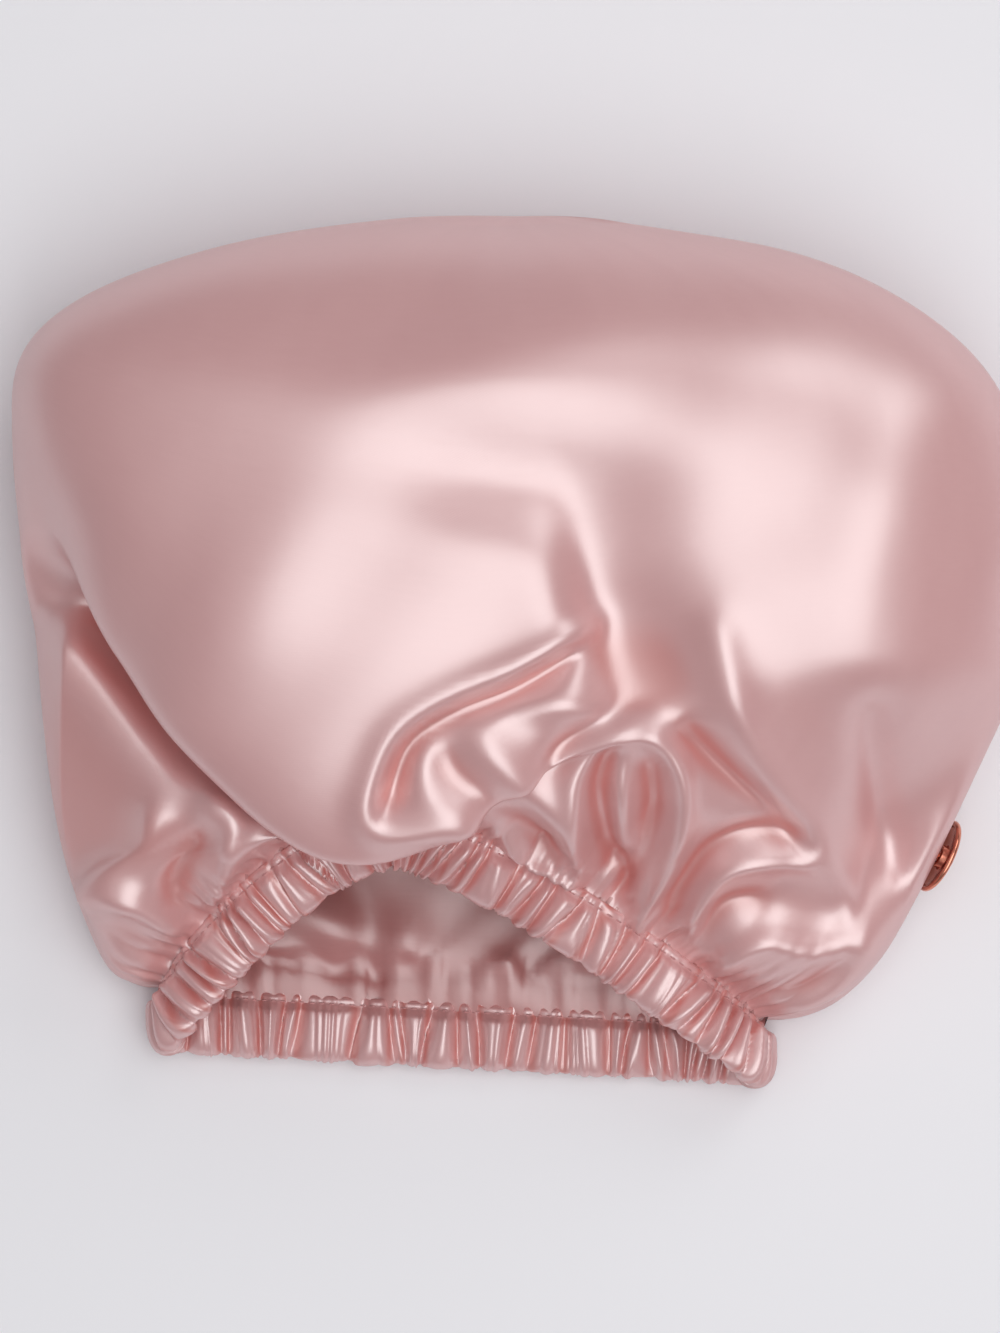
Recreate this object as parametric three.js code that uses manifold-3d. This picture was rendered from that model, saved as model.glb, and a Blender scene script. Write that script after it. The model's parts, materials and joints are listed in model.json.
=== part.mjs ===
// A satin shower cap lying on its back with the mouth towards the front (-Y).
// Millimetres, +Z up. The origin is on the flat patch that rests on the table.
import * as THREE from "three";
import { mergeVertices } from "three/addons/utils/BufferGeometryUtils.js";
import Module from "manifold-3d";

const wasm = await Module();
wasm.setup();

// Driving dimensions of the mouth: a closed ring with a lower and an upper lip.
const mouthWidth = 176; // corner to corner along the hem's centre line
const mouthShift = -15; // the mouth's middle, left of the cap's middle
const lowerLipY = -117; // the lower lip's centre line
const lipSlant = -0.055; // the lower lip's slope in plan
const lipSetback = 59; // how far the upper lip's peak lies behind the lower lip
const lipRise = 32; // how far that peak stands above the corners
const peakShift = 19; // how far that peak lies left of the mouth's middle
const cornerLift = 13; // from the lower lip up to the upper one at the corners
const lipRoundness = 1.5; // 1 gives straight legs up to the peak, 2 a round arch
const lipLean = 0.5; // how much the upper lip's face leans forward

// Driving dimensions of the hem: a gathered casing round an elastic band.
const hemWidth = 17.5;
const hemThickness = 6;
const casingLip = 0.7; // the sleeve's cloth where it grips the crown's edge
const gatherCount = 56; // pleats round the whole ring
const gatherDepth = 0.6;
const elasticWidth = 11;
const elasticThickness = 1.2;
const threadDiameter = 0.7;
const seamAllowance = 4; // how far the crown's edge reaches into the casing

// Driving dimensions of the cloth.
const satinThickness = 0.5;
const liningThickness = 0.4;
const clearance = 0.3; // between pieces that touch
const slitClearance = 0.4; // between the crown's sewn edge and the casing on each side of it
const layerGap = 0.5; // between the loose layers of cloth
const liningBag = 5; // how far the lining bags up behind the lower lip

// The crown's sections from the mouth to the far end. Each is a flat-bottomed oval across the cap.
// y: place along the cap. halfWidth, top, waist, base: half its width, its height, and the heights
// where it is widest and where it rests. shift: its middle along X.
// leftBack: how much further back its left end lies. Where a base is below 0 the table presses it flat.
const sections = [
  { y: -56, halfWidth: 135, top: 58, waist: 33, base: -0.5, shift: -5, leftBack: 0 },
  { y: -10, halfWidth: 150, top: 95, waist: 42, base: -0.5, shift: 1, leftBack: 0 },
  { y: 30, halfWidth: 152, top: 104, waist: 46, base: -0.5, shift: 1, leftBack: 44 },
  { y: 80, halfWidth: 151, top: 95, waist: 46, base: 2, shift: 1, leftBack: 8 },
  { y: 114, halfWidth: 119, top: 75, waist: 43, base: 12, shift: 0, leftBack: 0 },
];
const farEnd = { x: -10, y: 129, z: 42 };
const archPower = 0.8; // how boxy the ovals' upper halves are, under 1 is fuller
const shoulderReach = 14; // how far past the hem the cloth runs before it swells out
const shoulderSwell = 9;
const cornerReach = 1; // the same at the mouth's corners, where the cloth turns aside at once
const rightSwell = 30;
const leftSwell = 23;
const browReach = 36; // how far behind the upper lip the cloth stands up from it
const browSwell = 26;
const peakReach = 5; // the same at the upper lip's peak, where the cloth climbs steeply
const peakSwell = 12;

// The fold where the crown flops over the left side: its edge runs from the peak to the left end.
const flopEdge = { x: -33, y: -70, z: 72 }; // the edge in front of the peak
const flopRun = { x: -116, y: 128, z: -20 }; // from there to the left end
const flopArch = 6; // how far the edge bows up on the way
const flopCurve = 1.6;
const flopRound = { back: 9, rise: 13 }; // from the edge up to the top of its round
const tuckBack = 15; // the crease lies this far behind the edge
const tuckDrop = 30; // and this far below it
const peakDrop = 3; // but only this far where it passes over the upper lip

// Main folds of the crown, as lines seen from above. Each is a ridge, or a groove where its height is
// below 0, with a valley along its left (1) or right (-1) side, or with none (0).
const frontFolds = [
  { points: [[23, 3], [-28, -21], [-40, -50], [-31, -56], [9, -68]], height: 6.5, width: 6, valley: 1 },
  { points: [[-17, -31], [-2, -49], [14, -65]], height: 6, width: 9, valley: 0 },
  { points: [[38, -24], [51, -45], [47, -60], [38, -83]], height: 7, width: 6, valley: -1 },
  { points: [[42, 0], [62, -20], [79, -41], [92, -62], [102, -90]], height: 7, width: 8, valley: -1 },
  { points: [[104, -20], [109, -45], [113, -72]], height: -7, width: 9, valley: 0 },
];
const pouchFolds = [ // under the flop
  { points: [[-143, 16], [-127, -10], [-99, -40], [-88, -58], [-96, -76]], height: 8, width: 8, valley: 1 },
  { points: [[-103, -48], [-119, -70], [-99, -85]], height: 7, width: 6, valley: 0 },
];
const valleyPlace = 1.7; // the valley's middle, counted in widths of its fold
const valleyWidth = 1.2;
const valleyDepth = 0.9; // counted in heights of its fold

// Broad swells and dents of the crown's top, as ovals seen from above. turn is in degrees.
const swells = [
  { x: -78, y: 12, halfLength: 48, halfWidth: 26, turn: 60, height: 5 },
  { x: 0, y: 48, halfLength: 34, halfWidth: 13, turn: -8, height: -7 },
  { x: 34, y: 4, halfLength: 34, halfWidth: 14, turn: -68, height: -8 },
  { x: -8, y: 76, halfLength: 40, halfWidth: 14, turn: 8, height: 3 },
  { x: 92, y: 25, halfLength: 60, halfWidth: 24, turn: 80, height: 4 },
];

// Driving dimensions of the badge and its tack.
const badgeDiameter = 23;
const badgeDish = 2.6; // how far its face is domed
const badgeMetal = 0.8;
const badgeRim = 1.8; // thickness of its rolled rim
const badgeStandoff = 5; // from the satin to the rim
const badgeAround = 0.992; // where it sits: share of the way round the hem
const badgeAlong = 0.21; // and of the way from the hem to the far end
const hubDiameter = 7;
const hubDepth = 2.6;
const collarDiameter = 5;
const tackDiameter = 2;
const tackHeadDiameter = 7;
const tackHeadThickness = 1;

// Fineness of the meshes.
const ringSteps = 44; // columns of cloth round the cap
const hemSteps = 2 * gatherCount;
const rowKnots = [0, 0.5, 1, 1.6, 2.2, 3, 4, 5, 6, 7, 8, 8.6]; // rows of cloth, counted in knots
const roundSteps = 24;

const hemHeight = hemThickness / 2 + gatherDepth + threadDiameter + 4 * clearance;
const casingHalf = hemWidth / 2;
const slitHalf = (satinThickness + liningThickness + clearance) / 2 + slitClearance;

const satin = new THREE.MeshStandardMaterial({ color: 0xd9a9a8, roughness: 0.38, metalness: 0 });
const liningCloth = new THREE.MeshStandardMaterial({ color: 0xd2a3a2, roughness: 0.45, metalness: 0 });
const elasticRubber = new THREE.MeshStandardMaterial({ color: 0xf0e6e2, roughness: 0.8, metalness: 0 });
const sewingThread = new THREE.MeshStandardMaterial({ color: 0xc48e8e, roughness: 0.6, metalness: 0 });
const roseGold = new THREE.MeshStandardMaterial({ color: 0xd58a70, roughness: 0.18, metalness: 1 });

const cap = new THREE.Group();

function addPiece(name, geometry, material) {
  const mesh = new THREE.Mesh(geometry, material);
  mesh.name = name;
  cap.add(mesh);
  return mesh;
}

const { smoothstep, lerp } = THREE.MathUtils;

// The hem's centre line. angle 0 is the right corner, a quarter turn the upper lip's peak.
function hemPoint(angle) {
  const c = Math.cos(angle);
  const s = Math.sin(angle);
  const arch = s > 0 ? 1 - Math.abs(c) ** lipRoundness : 0;
  const across = (mouthWidth / 2) * c - peakShift * arch;
  const upper = smoothstep(s, -0.4, 0.4);
  return new THREE.Vector3(
    mouthShift + across,
    lowerLipY + lipSlant * across + lipSetback * arch,
    hemHeight + cornerLift * upper + lipRise * arch,
  );
}

// Axes of the hem at an angle: along the ring, out of the cap, and back towards the crown.
function hemAxes(angle) {
  const step = 0.01;
  const along = hemPoint(angle + step).sub(hemPoint(angle - step)).normalize();
  const s = Math.sin(angle);
  const facing = new THREE.Vector3(Math.cos(angle), -lipLean * smoothstep(s, 0, 0.7), s);
  const back = along.clone().cross(facing).normalize();
  const out = back.clone().cross(along).normalize();
  return { along, out, back };
}

// A point of the hem's cross-section: back towards the crown and out of the cap.
function hemOffset(angle, towardsCrown, outwards) {
  const { out, back } = hemAxes(angle);
  return hemPoint(angle).addScaledVector(back, towardsCrown).addScaledVector(out, outwards);
}

// Angles that divide the hem ring into steps, even along the lips and closer together at the corners.
const ringParts = 720;
const cornerCloseness = 50; // millimetres of run that one radian of angle counts for
const ringTable = [{ angle: 0, run: 0 }];
let ringLength = 0;
for (let i = 1; i <= ringParts; i++) {
  const last = ringTable[i - 1];
  const angle = (i / ringParts) * 2 * Math.PI;
  const length = hemPoint(angle).distanceTo(hemPoint(last.angle));
  ringLength += length;
  ringTable.push({ angle, run: last.run + length + cornerCloseness * (angle - last.angle) });
}
const ringRun = ringTable[ringParts].run;

function ringAngle(share) {
  const run = (share - Math.floor(share)) * ringRun;
  const next = Math.max(1, ringTable.findIndex((entry) => entry.run >= run));
  const a = ringTable[next - 1];
  const b = ringTable[next];
  return lerp(a.angle, b.angle, (run - a.run) / (b.run - a.run));
}

// A point of one of the crown's flat-bottomed oval sections.
function sectionPoint(section, angle) {
  const c = Math.cos(angle);
  const s = Math.sin(angle);
  const arch = Math.abs(s) ** archPower;
  const flat = Math.min(1, 1.35 * arch);
  const height = s > 0
    ? lerp(section.waist, section.top, arch)
    : lerp(section.waist, section.base, flat);
  return new THREE.Vector3(
    section.shift + section.halfWidth * c,
    section.y + section.leftBack * Math.max(0, -c) ** 2,
    height,
  );
}

// How much of the flop there is at an angle: all of it from the peak round to the left corner.
function flopShare(angle) {
  const turn = angle / Math.PI;
  return smoothstep(turn, 0.34, 0.52) * (1 - smoothstep(turn, 0.9, 1.15));
}

// The edge of the flop, or the crease behind and below it, which runs out at both ends.
function flopPoint(angle, crease) {
  const turn = Math.min(1.15, (2 * angle) / Math.PI - 1);
  const run = Math.max(0, turn) ** 0.75;
  const ending = 1 - 0.85 * smoothstep(run, 0.65, 1);
  const drop = lerp(peakDrop, tuckDrop, smoothstep(run, 0.1, 0.6)) * ending;
  const back = tuckBack * ending;
  return new THREE.Vector3(
    flopEdge.x + flopRun.x * Math.min(1, turn > 0 ? run : turn) + 0.2 * back * crease,
    flopEdge.y + flopRun.y * run ** flopCurve + back * crease,
    flopEdge.z + flopRun.z * run ** 2 + flopArch * Math.sin(Math.PI * run) - drop * crease,
  );
}

// The points that a line of cloth passes on its way from the hem to the far end.
function meridianKnots(angle) {
  const c = Math.cos(angle);
  const flop = flopShare(angle);
  const peak = flop * (1 - smoothstep((2 * angle) / Math.PI, 1.1, 1.55));
  const [front, brow, crest, nape, end] = sections.map((section) => sectionPoint(section, angle));
  const cornerSwell = c > 0 ? rightSwell : leftSwell;
  const reach = lerp(lerp(shoulderReach, cornerReach, c ** 4), peakReach, peak);
  const swell = lerp(lerp(shoulderSwell, cornerSwell, c ** 4), peakSwell, peak);
  const standing = hemOffset(angle, casingHalf + browReach, browSwell);
  front.lerp(standing, smoothstep(Math.sin(angle), 0.1, 0.6));
  const beforeBrow = front.clone().lerp(brow, 0.55);
  const edge = flopPoint(angle, 0);
  brow.lerp(edge, flop);
  const afterBrow = brow.clone().lerp(crest, 0.35);
  const roundness = 1 - smoothstep((2 * angle) / Math.PI, 1.5, 1.9);
  const round = edge.clone().add(new THREE.Vector3(0, flopRound.back, flopRound.rise));
  return [
    hemOffset(angle, casingHalf + clearance, 0),
    hemOffset(angle, casingHalf + reach, swell),
    front.lerp(hemOffset(angle, casingHalf + peakReach, 1.25 * peakSwell), peak),
    beforeBrow.lerp(flopPoint(angle, 1), flop),
    brow,
    afterBrow.lerp(round, flop * roundness),
    crest,
    nape,
    end,
    new THREE.Vector3(farEnd.x, farEnd.y, farEnd.z),
  ];
}

// A smooth line of cloth. It starts square to the hem and at the far end runs on into the opposite line.
function meridian(angle) {
  const knots = meridianKnots(angle);
  const opposite = meridianKnots((angle + Math.PI) % (2 * Math.PI));
  const sewn = hemOffset(angle, casingHalf - shoulderReach, 0);
  return new THREE.CatmullRomCurve3([sewn, ...knots, opposite.at(-2)], false, "centripetal");
}

// The smooth crown at a share of the way round the hem and a share of the way to the far end.
const lines = new Map();
function smoothCloth(share, place) {
  const angle = ringAngle(share);
  if (!lines.has(angle)) lines.set(angle, meridian(angle));
  const line = lines.get(angle);
  const spans = line.points.length - 1;
  return line.getPoint((1 + place * (spans - 2)) / spans);
}

// Rows of cloth points from the hem to the far end.
function clothRow(place) {
  return Array.from({ length: ringSteps }, (_, i) => smoothCloth(i / ringSteps, place));
}
const lastKnot = meridianKnots(0).length - 1;
const rowPlaces = rowKnots.map((knot) => knot / lastKnot);
const outerEnd = new THREE.Vector3(farEnd.x, farEnd.y, farEnd.z);

// Eases sharp bends: each point moves half way to the middle of its four neighbours.
// The hem's row stays.
function eased(rows) {
  return rows.map((row, j) =>
    row.map((point, i) => {
      if (j === 0) return point.clone();
      const above = j + 1 < rows.length ? rows[j + 1][i] : outerEnd;
      const middle = rows[j - 1][i].clone().add(above);
      middle.add(row[(i + 1) % ringSteps]).add(row[(i + ringSteps - 1) % ringSteps]);
      return middle.multiplyScalar(1 / 4).lerp(point, 0.5);
    }),
  );
}

// Rows of cloth pressed flat where they meet the table.
function rested(rows) {
  return rows.map((row) => row.map(({ x, y, z }) => new THREE.Vector3(x, y, Math.max(0, z))));
}

// The trace of a soft round brush along a line seen from above: 1 on a straight line, 0 far from it.
function brush(point, line, width) {
  let trace = 0;
  for (let k = 1; k < line.length; k++) {
    const middle = line[k].clone().add(line[k - 1]).multiplyScalar(0.5);
    const square = (point.x - middle.x) ** 2 + (point.y - middle.y) ** 2;
    trace += Math.exp(-square / width ** 2) * line[k].distanceTo(line[k - 1]);
  }
  return trace / (width * Math.sqrt(Math.PI));
}

// The lift that one fold gives to a point of the cloth.
const foldParts = 24;
function foldLift(point, { points, height, width, valley }) {
  const curve = new THREE.SplineCurve(points.map(([x, y]) => new THREE.Vector2(x, y)));
  const ridge = curve.getPoints(foldParts);
  const beside = ridge.map((spot, k) => {
    const { x, y } = curve.getTangent(k / foldParts);
    return spot.clone().addScaledVector(new THREE.Vector2(-y, x), valley * valleyPlace * width);
  });
  const dip = valley === 0 ? 0 : valleyDepth * brush(point, beside, valleyWidth * width);
  return height * (brush(point, ridge, width) - dip);
}

// The lift of a swell or dent: a bell over a long oval.
function swellLift(point, { x, y, halfLength, halfWidth, turn, height }) {
  const away = new THREE.Vector2(point.x - x, point.y - y);
  away.rotateAround(new THREE.Vector2(), -THREE.MathUtils.degToRad(turn));
  return height * Math.exp(-((away.x / halfLength) ** 2) - (away.y / halfWidth) ** 2);
}

// Lifts the cloth by its folds and swells, square to itself and only where it faces up.
// The flop covers the pouch up to its crease, so the pouch has folds of its own.
const sum = (forms, lift) => forms.reduce((total, form) => total + lift(form), 0);
function folded(rows) {
  return rows.map((row, j) =>
    row.map((point, i) => {
      if (j === 0) return point.clone();
      const along = (rows[j + 1] ? rows[j + 1][i] : outerEnd).clone().sub(rows[j - 1][i]);
      const round = row[(i + 1) % ringSteps].clone().sub(row[(i + ringSteps - 1) % ringSteps]);
      const normal = along.cross(round).normalize();
      const share = i / ringSteps;
      const knot = rowKnots[j];
      const covered = smoothstep(share, 0.22, 0.26) * (1 - smoothstep(share, 0.47, 0.52));
      const pouch = covered * (1 - smoothstep(knot, 2.2, 3));
      const front = 1 - covered * (1 - smoothstep(knot, 3.6, 4.8));
      const lift =
        pouch * sum(pouchFolds, (fold) => foldLift(point, fold)) +
        front * sum(frontFolds, (fold) => foldLift(point, fold)) +
        smoothstep(knot, 3, 4.5) * sum(swells, (swell) => swellLift(point, swell));
      return point.clone().addScaledVector(normal, lift * smoothstep(normal.z, 0.05, 0.4));
    }),
  );
}
const outerRows = rested(folded(eased(eased(rowPlaces.map(clothRow)))));

// Moves rows of cloth inwards by a distance, square to the faces round each point.
function inwards(rows, end, distance) {
  const at = (j, i) => rows[Math.max(0, Math.min(j, rows.length - 1))][(i + ringSteps) % ringSteps];
  const facing = (a, b, c) => b.clone().sub(a).cross(c.clone().sub(a)).normalize();
  const moved = rows.map((row, j) =>
    row.map((point, i) => {
      const steps = [[0, 1], [1, 1], [1, 0], [0, -1], [-1, -1], [-1, 0]];
      const round = steps.map(([up, along]) => at(j + up, i + along));
      const faces = round
        .map((corner, k) => facing(point, round[(k + 1) % round.length], corner))
        .filter((face) => face.length() > 0.5);
      const normal = new THREE.Vector3();
      faces.forEach((face) => normal.add(face));
      normal.normalize();
      const lean = Math.min(1, ...faces.map((face) => face.dot(normal)));
      return point.clone().addScaledVector(normal, -distance / Math.max(0.55, lean));
    }),
  );
  return { rows: moved, end: end.clone().add(new THREE.Vector3(0, -distance, 0)) };
}

// How much of the lining's bag there is at a row and a column: most of it close behind the lower lip.
function bagShare(j, i) {
  const near = smoothstep(rowKnots[j], 0, 1) * (1 - smoothstep(rowKnots[j], 1, 2.2));
  return near * smoothstep(-Math.sin(ringAngle(i / ringSteps)), 0.5, 0.8);
}

// A layer of cloth: an outer and an inner face, a closed far end, and an edge sewn into the casing.
function clothLayer(depth, thickness, slitPlace, bag) {
  const outer = inwards(outerRows, outerEnd, depth);
  const inner = inwards(outerRows, outerEnd, depth + thickness);
  for (const { rows } of [outer, inner]) {
    rows.forEach((row, j) => row.forEach((point, i) => (point.z += bag * bagShare(j, i))));
  }
  const edge = (outwards) =>
    Array.from({ length: ringSteps }, (_, i) =>
      hemOffset(ringAngle(i / ringSteps), casingHalf - seamAllowance, outwards));
  const neck = (outwards) =>
    Array.from({ length: ringSteps }, (_, i) =>
      hemOffset(ringAngle(i / ringSteps), casingHalf + clearance, outwards));
  outer.rows.splice(0, 1, edge(slitPlace), neck(slitPlace));
  inner.rows.splice(0, 1, edge(slitPlace - thickness), neck(slitPlace - thickness));
  return closedCup(outer, inner);
}

// A cup-shaped solid from the rows of its outer and inner faces, which share an edge at the first row.
function closedCup(outer, inner) {
  const positions = [];
  const index = [];
  const addFace = ({ rows, end }, outwards) => {
    const first = positions.length / 3;
    rows.forEach((row) => row.forEach((p) => positions.push(p.x, p.y, p.z)));
    positions.push(end.x, end.y, end.z);
    const tip = positions.length / 3 - 1;
    const at = (j, i) => first + j * ringSteps + (i % ringSteps);
    const face = (a, b, c) => index.push(...(outwards ? [a, b, c] : [a, c, b]));
    for (let i = 0; i < ringSteps; i++) {
      for (let j = 0; j < rows.length - 1; j++) {
        face(at(j, i), at(j, i + 1), at(j + 1, i + 1));
        face(at(j, i), at(j + 1, i + 1), at(j + 1, i));
      }
      face(at(rows.length - 1, i), at(rows.length - 1, i + 1), tip);
    }
    return at;
  };
  const out = addFace(outer, false);
  const inn = addFace(inner, true);
  for (let i = 0; i < ringSteps; i++) {
    index.push(out(0, i), inn(0, i + 1), inn(0, i), out(0, i), out(0, i + 1), inn(0, i + 1));
  }
  return indexed(positions, index);
}

function indexed(positions, index) {
  const geometry = new THREE.BufferGeometry();
  geometry.setAttribute("position", new THREE.Float32BufferAttribute(positions, 3));
  geometry.setIndex(index);
  return geometry;
}

// A point of the hem's cross-section on the straight run between two columns of the crown's cloth,
// so that the hem's pieces keep the same gap to the cloth all the way round.
function hemChord(share, towardsCrown, outwards) {
  const column = Math.floor(share * ringSteps);
  const a = hemOffset(ringAngle(column / ringSteps), towardsCrown, outwards);
  const b = hemOffset(ringAngle((column + 1) / ringSteps), towardsCrown, outwards);
  return a.lerp(b, share * ringSteps - column);
}

// A solid swept along the hem. outline(share) gives the corners of its section there.
// Between two shares it has flat ends, and all the way round it closes on itself.
function sweepHem(outline, from, to, steps) {
  const whole = to - from >= 1;
  const count = whole ? steps : steps + 1;
  const rings = Array.from({ length: count }, (_, i) => {
    const share = from + ((to - from) * i) / steps;
    return outline(share).map(([w, n]) => hemChord(share, w, n));
  });
  const corners = rings[0].length;
  const positions = rings.flat().flatMap((p) => [p.x, p.y, p.z]);
  const index = [];
  const at = (i, j) => (i % count) * corners + (j % corners);
  for (let i = 0; i < steps; i++) {
    for (let j = 0; j < corners; j++) {
      index.push(at(i, j), at(i + 1, j), at(i + 1, j + 1), at(i, j), at(i + 1, j + 1), at(i, j + 1));
    }
  }
  if (!whole) {
    const flat = outline(from).map(([w, n]) => new THREE.Vector2(w, n));
    for (const [a, b, c] of THREE.ShapeUtils.triangulateShape(flat, [])) {
      index.push(at(0, a), at(0, b), at(0, c), at(steps, a), at(steps, c), at(steps, b));
    }
  }
  return indexed(positions, index);
}

// The casing's section: a gathered sleeve, open towards the crown, where the cloth's edge goes in.
const bore = elasticThickness / 2 + 2 * clearance;
const casingBend = hemThickness * 0.43;
const gatherAt = (share) => gatherDepth * Math.cos(2 * Math.PI * gatherCount * share);
function casingOutline(share) {
  const gather = gatherAt(share);
  const half = hemThickness / 2 + gather;
  const oneSide = [
    [casingHalf, slitHalf + casingLip],
    [casingHalf - casingBend, half],
    [casingBend - casingHalf, half],
    [gather - casingHalf, half * 0.45],
  ];
  const hollow = [
    [elasticMiddle - elasticWidth / 2 - clearance, bore],
    [casingHalf - seamAllowance - clearance, bore],
    [casingHalf, slitHalf],
  ];
  const mirrored = (corners) => corners.map(([w, n]) => [w, -n]).reverse();
  return [...oneSide, ...mirrored(oneSide), ...mirrored(hollow), ...hollow];
}

// The elastic lies between the crown's sewn edge and the sleeve's free edge.
const elasticMiddle = casingHalf - seamAllowance - 2 * clearance - elasticWidth / 2;
function elasticOutline() {
  const low = elasticMiddle - elasticWidth / 2;
  const high = elasticMiddle + elasticWidth / 2;
  const half = elasticThickness / 2;
  return [[high, half], [low, half], [low, -half], [high, -half]];
}

// A row of thread along the sleeve's outer face, beside the crown.
function threadOutline(share) {
  const radius = threadDiameter / 2;
  const rise = hemThickness / 2 + gatherAt(share) + clearance + radius;
  const place = casingHalf - casingBend - threadDiameter;
  const turns = Array.from({ length: 6 }, (_, i) => (i / 6) * 2 * Math.PI);
  return turns.map((turn) => [place + radius * Math.cos(turn), rise + radius * Math.sin(turn)]);
}

// The sleeve and its thread are one ring, cut at the mouth's two corners so that it can be pulled open.
const cut = clearance / ringLength / 2;
const leftCorner = ringTable[ringParts / 2].run / ringRun;
const upperHem = (outline) => sweepHem(outline, cut, leftCorner - cut, hemSteps / 2);
const lowerHem = (outline) => sweepHem(outline, leftCorner + cut, 1 - cut, hemSteps / 2);

// The badge sits in the middle of one flat face of the cloth, between two rows and two columns.
const badgeColumn = Math.floor(badgeAround * ringSteps);
const badgeRow = rowPlaces.findIndex((place) => place > badgeAlong) - 1;
const badgeFace = new THREE.Triangle(
  outerRows[badgeRow][badgeColumn],
  outerRows[badgeRow + 1][badgeColumn],
  outerRows[badgeRow + 1][(badgeColumn + 1) % ringSteps],
);
const badgePlace = badgeFace.getMidpoint(new THREE.Vector3());
const badgeAxis = badgeFace.getNormal(new THREE.Vector3());

// A turned solid on the badge's axis. The profile is pairs of radius and height above the satin.
function turnOnBadge(profile) {
  const outline = profile.map(([radius, height]) => new THREE.Vector2(radius, height));
  const geometry = new THREE.LatheGeometry(outline, roundSteps);
  const upright = new THREE.Vector3(0, 1, 0);
  geometry.applyQuaternion(new THREE.Quaternion().setFromUnitVectors(upright, badgeAxis));
  geometry.translate(badgePlace.x, badgePlace.y, badgePlace.z);
  geometry.deleteAttribute("uv");
  geometry.deleteAttribute("normal");
  return mergeVertices(geometry, 1e-4);
}

function toManifold(geometry) {
  const vertProperties = new Float32Array(geometry.attributes.position.array);
  const triVerts = new Uint32Array(geometry.index.array);
  return new wasm.Manifold(new wasm.Mesh({ numProp: 3, vertProperties, triVerts }));
}

// A layer of cloth with the hole that the tack passes through. The punch passes both layers.
const tackBore = tackDiameter / 2 + clearance;
const punchReach = 4 * (satinThickness + layerGap + liningThickness);
function pierced(layer) {
  const punch = turnOnBadge([
    [0, -punchReach],
    [tackBore, -punchReach],
    [tackBore, punchReach],
    [0, punchReach],
  ]);
  const mesh = toManifold(layer).subtract(toManifold(punch)).getMesh();
  return indexed(Array.from(mesh.vertProperties), Array.from(mesh.triVerts));
}

const liningDepth = satinThickness + layerGap;
const satinEdge = slitHalf - slitClearance;
const satinLayer = clothLayer(0, satinThickness, satinEdge, 0);
const liningLayer = clothLayer(liningDepth, liningThickness, liningThickness - satinEdge, liningBag);
addPiece("crown_satin", pierced(satinLayer), satin);
addPiece("crown_lining", pierced(liningLayer), liningCloth);
addPiece("casing_upper", upperHem(casingOutline), satin);
addPiece("casing_lower", lowerHem(casingOutline), satin);
addPiece("stitching_upper", upperHem(threadOutline), sewingThread);
addPiece("stitching_lower", lowerHem(threadOutline), sewingThread);
addPiece("elastic_band", sweepHem(elasticOutline, 0, 1, hemSteps), elasticRubber);

// The disc: a domed face with a rolled rim, and a hub behind it with a blind hole for the tack.
const rimRadius = badgeRim / 2;
const badgeRadius = badgeDiameter / 2;
const faceHeight = (radius) => badgeStandoff + rimRadius + badgeDish * (1 - (radius / badgeRadius) ** 2);
const backHeight = (radius) => faceHeight(radius) - badgeMetal;
const hubFoot = backHeight(0) - hubDepth;
const rimTurns = Array.from({ length: 7 }, (_, i) => Math.PI / 2 - (i / 6) * 1.5 * Math.PI);
const rolledRim = rimTurns.map((turn) => [
  badgeRadius - rimRadius + rimRadius * Math.cos(turn),
  badgeStandoff + rimRadius + rimRadius * Math.sin(turn),
]);
const faceRadii = [0, 0.25, 0.5, 0.75].map((share) => share * badgeRadius);
const discProfile = [
  [0, hubFoot + hubDepth - clearance],
  [tackBore, hubFoot + hubDepth - clearance],
  [tackBore, hubFoot],
  [hubDiameter / 2, hubFoot],
  ...faceRadii.slice(2).map((radius) => [radius, backHeight(radius)]),
  ...rolledRim.reverse(),
  ...faceRadii.reverse().map((radius) => [radius, faceHeight(radius)]),
];
addPiece("badge_disc", turnOnBadge(discProfile), roseGold);

const collarTop = hubFoot - clearance;
addPiece("badge_collar", turnOnBadge([
  [tackBore, clearance],
  [collarDiameter / 2, clearance],
  [collarDiameter / 2, collarTop],
  [tackBore, collarTop],
  [tackBore, clearance],
]), roseGold);

// The tack: a flat head inside the cap and a pin through the cloth and the collar into the hub.
const headTop = -(liningDepth + liningThickness + 2 * clearance);
addPiece("badge_tack", turnOnBadge([
  [0, headTop - tackHeadThickness],
  [tackHeadDiameter / 2, headTop - tackHeadThickness],
  [tackHeadDiameter / 2, headTop],
  [tackDiameter / 2, headTop],
  [tackDiameter / 2, hubFoot + hubDepth - 2 * clearance],
  [0, hubFoot + hubDepth - 2 * clearance],
]), roseGold);

export default cap;
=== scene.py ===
# %% [markdown]
# # A satin shower cap, lying on its back
# The cap is a bag of pink satin with a waterproof lining. Both are gathered into a narrow sleeve, the
# hem, with a loop of elastic inside. A rose gold disc is tacked to its right side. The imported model
# gives the frame: where each piece sits and what moves. This script gives the pieces their looks.

# %% Load the frame
import json
import math

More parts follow.
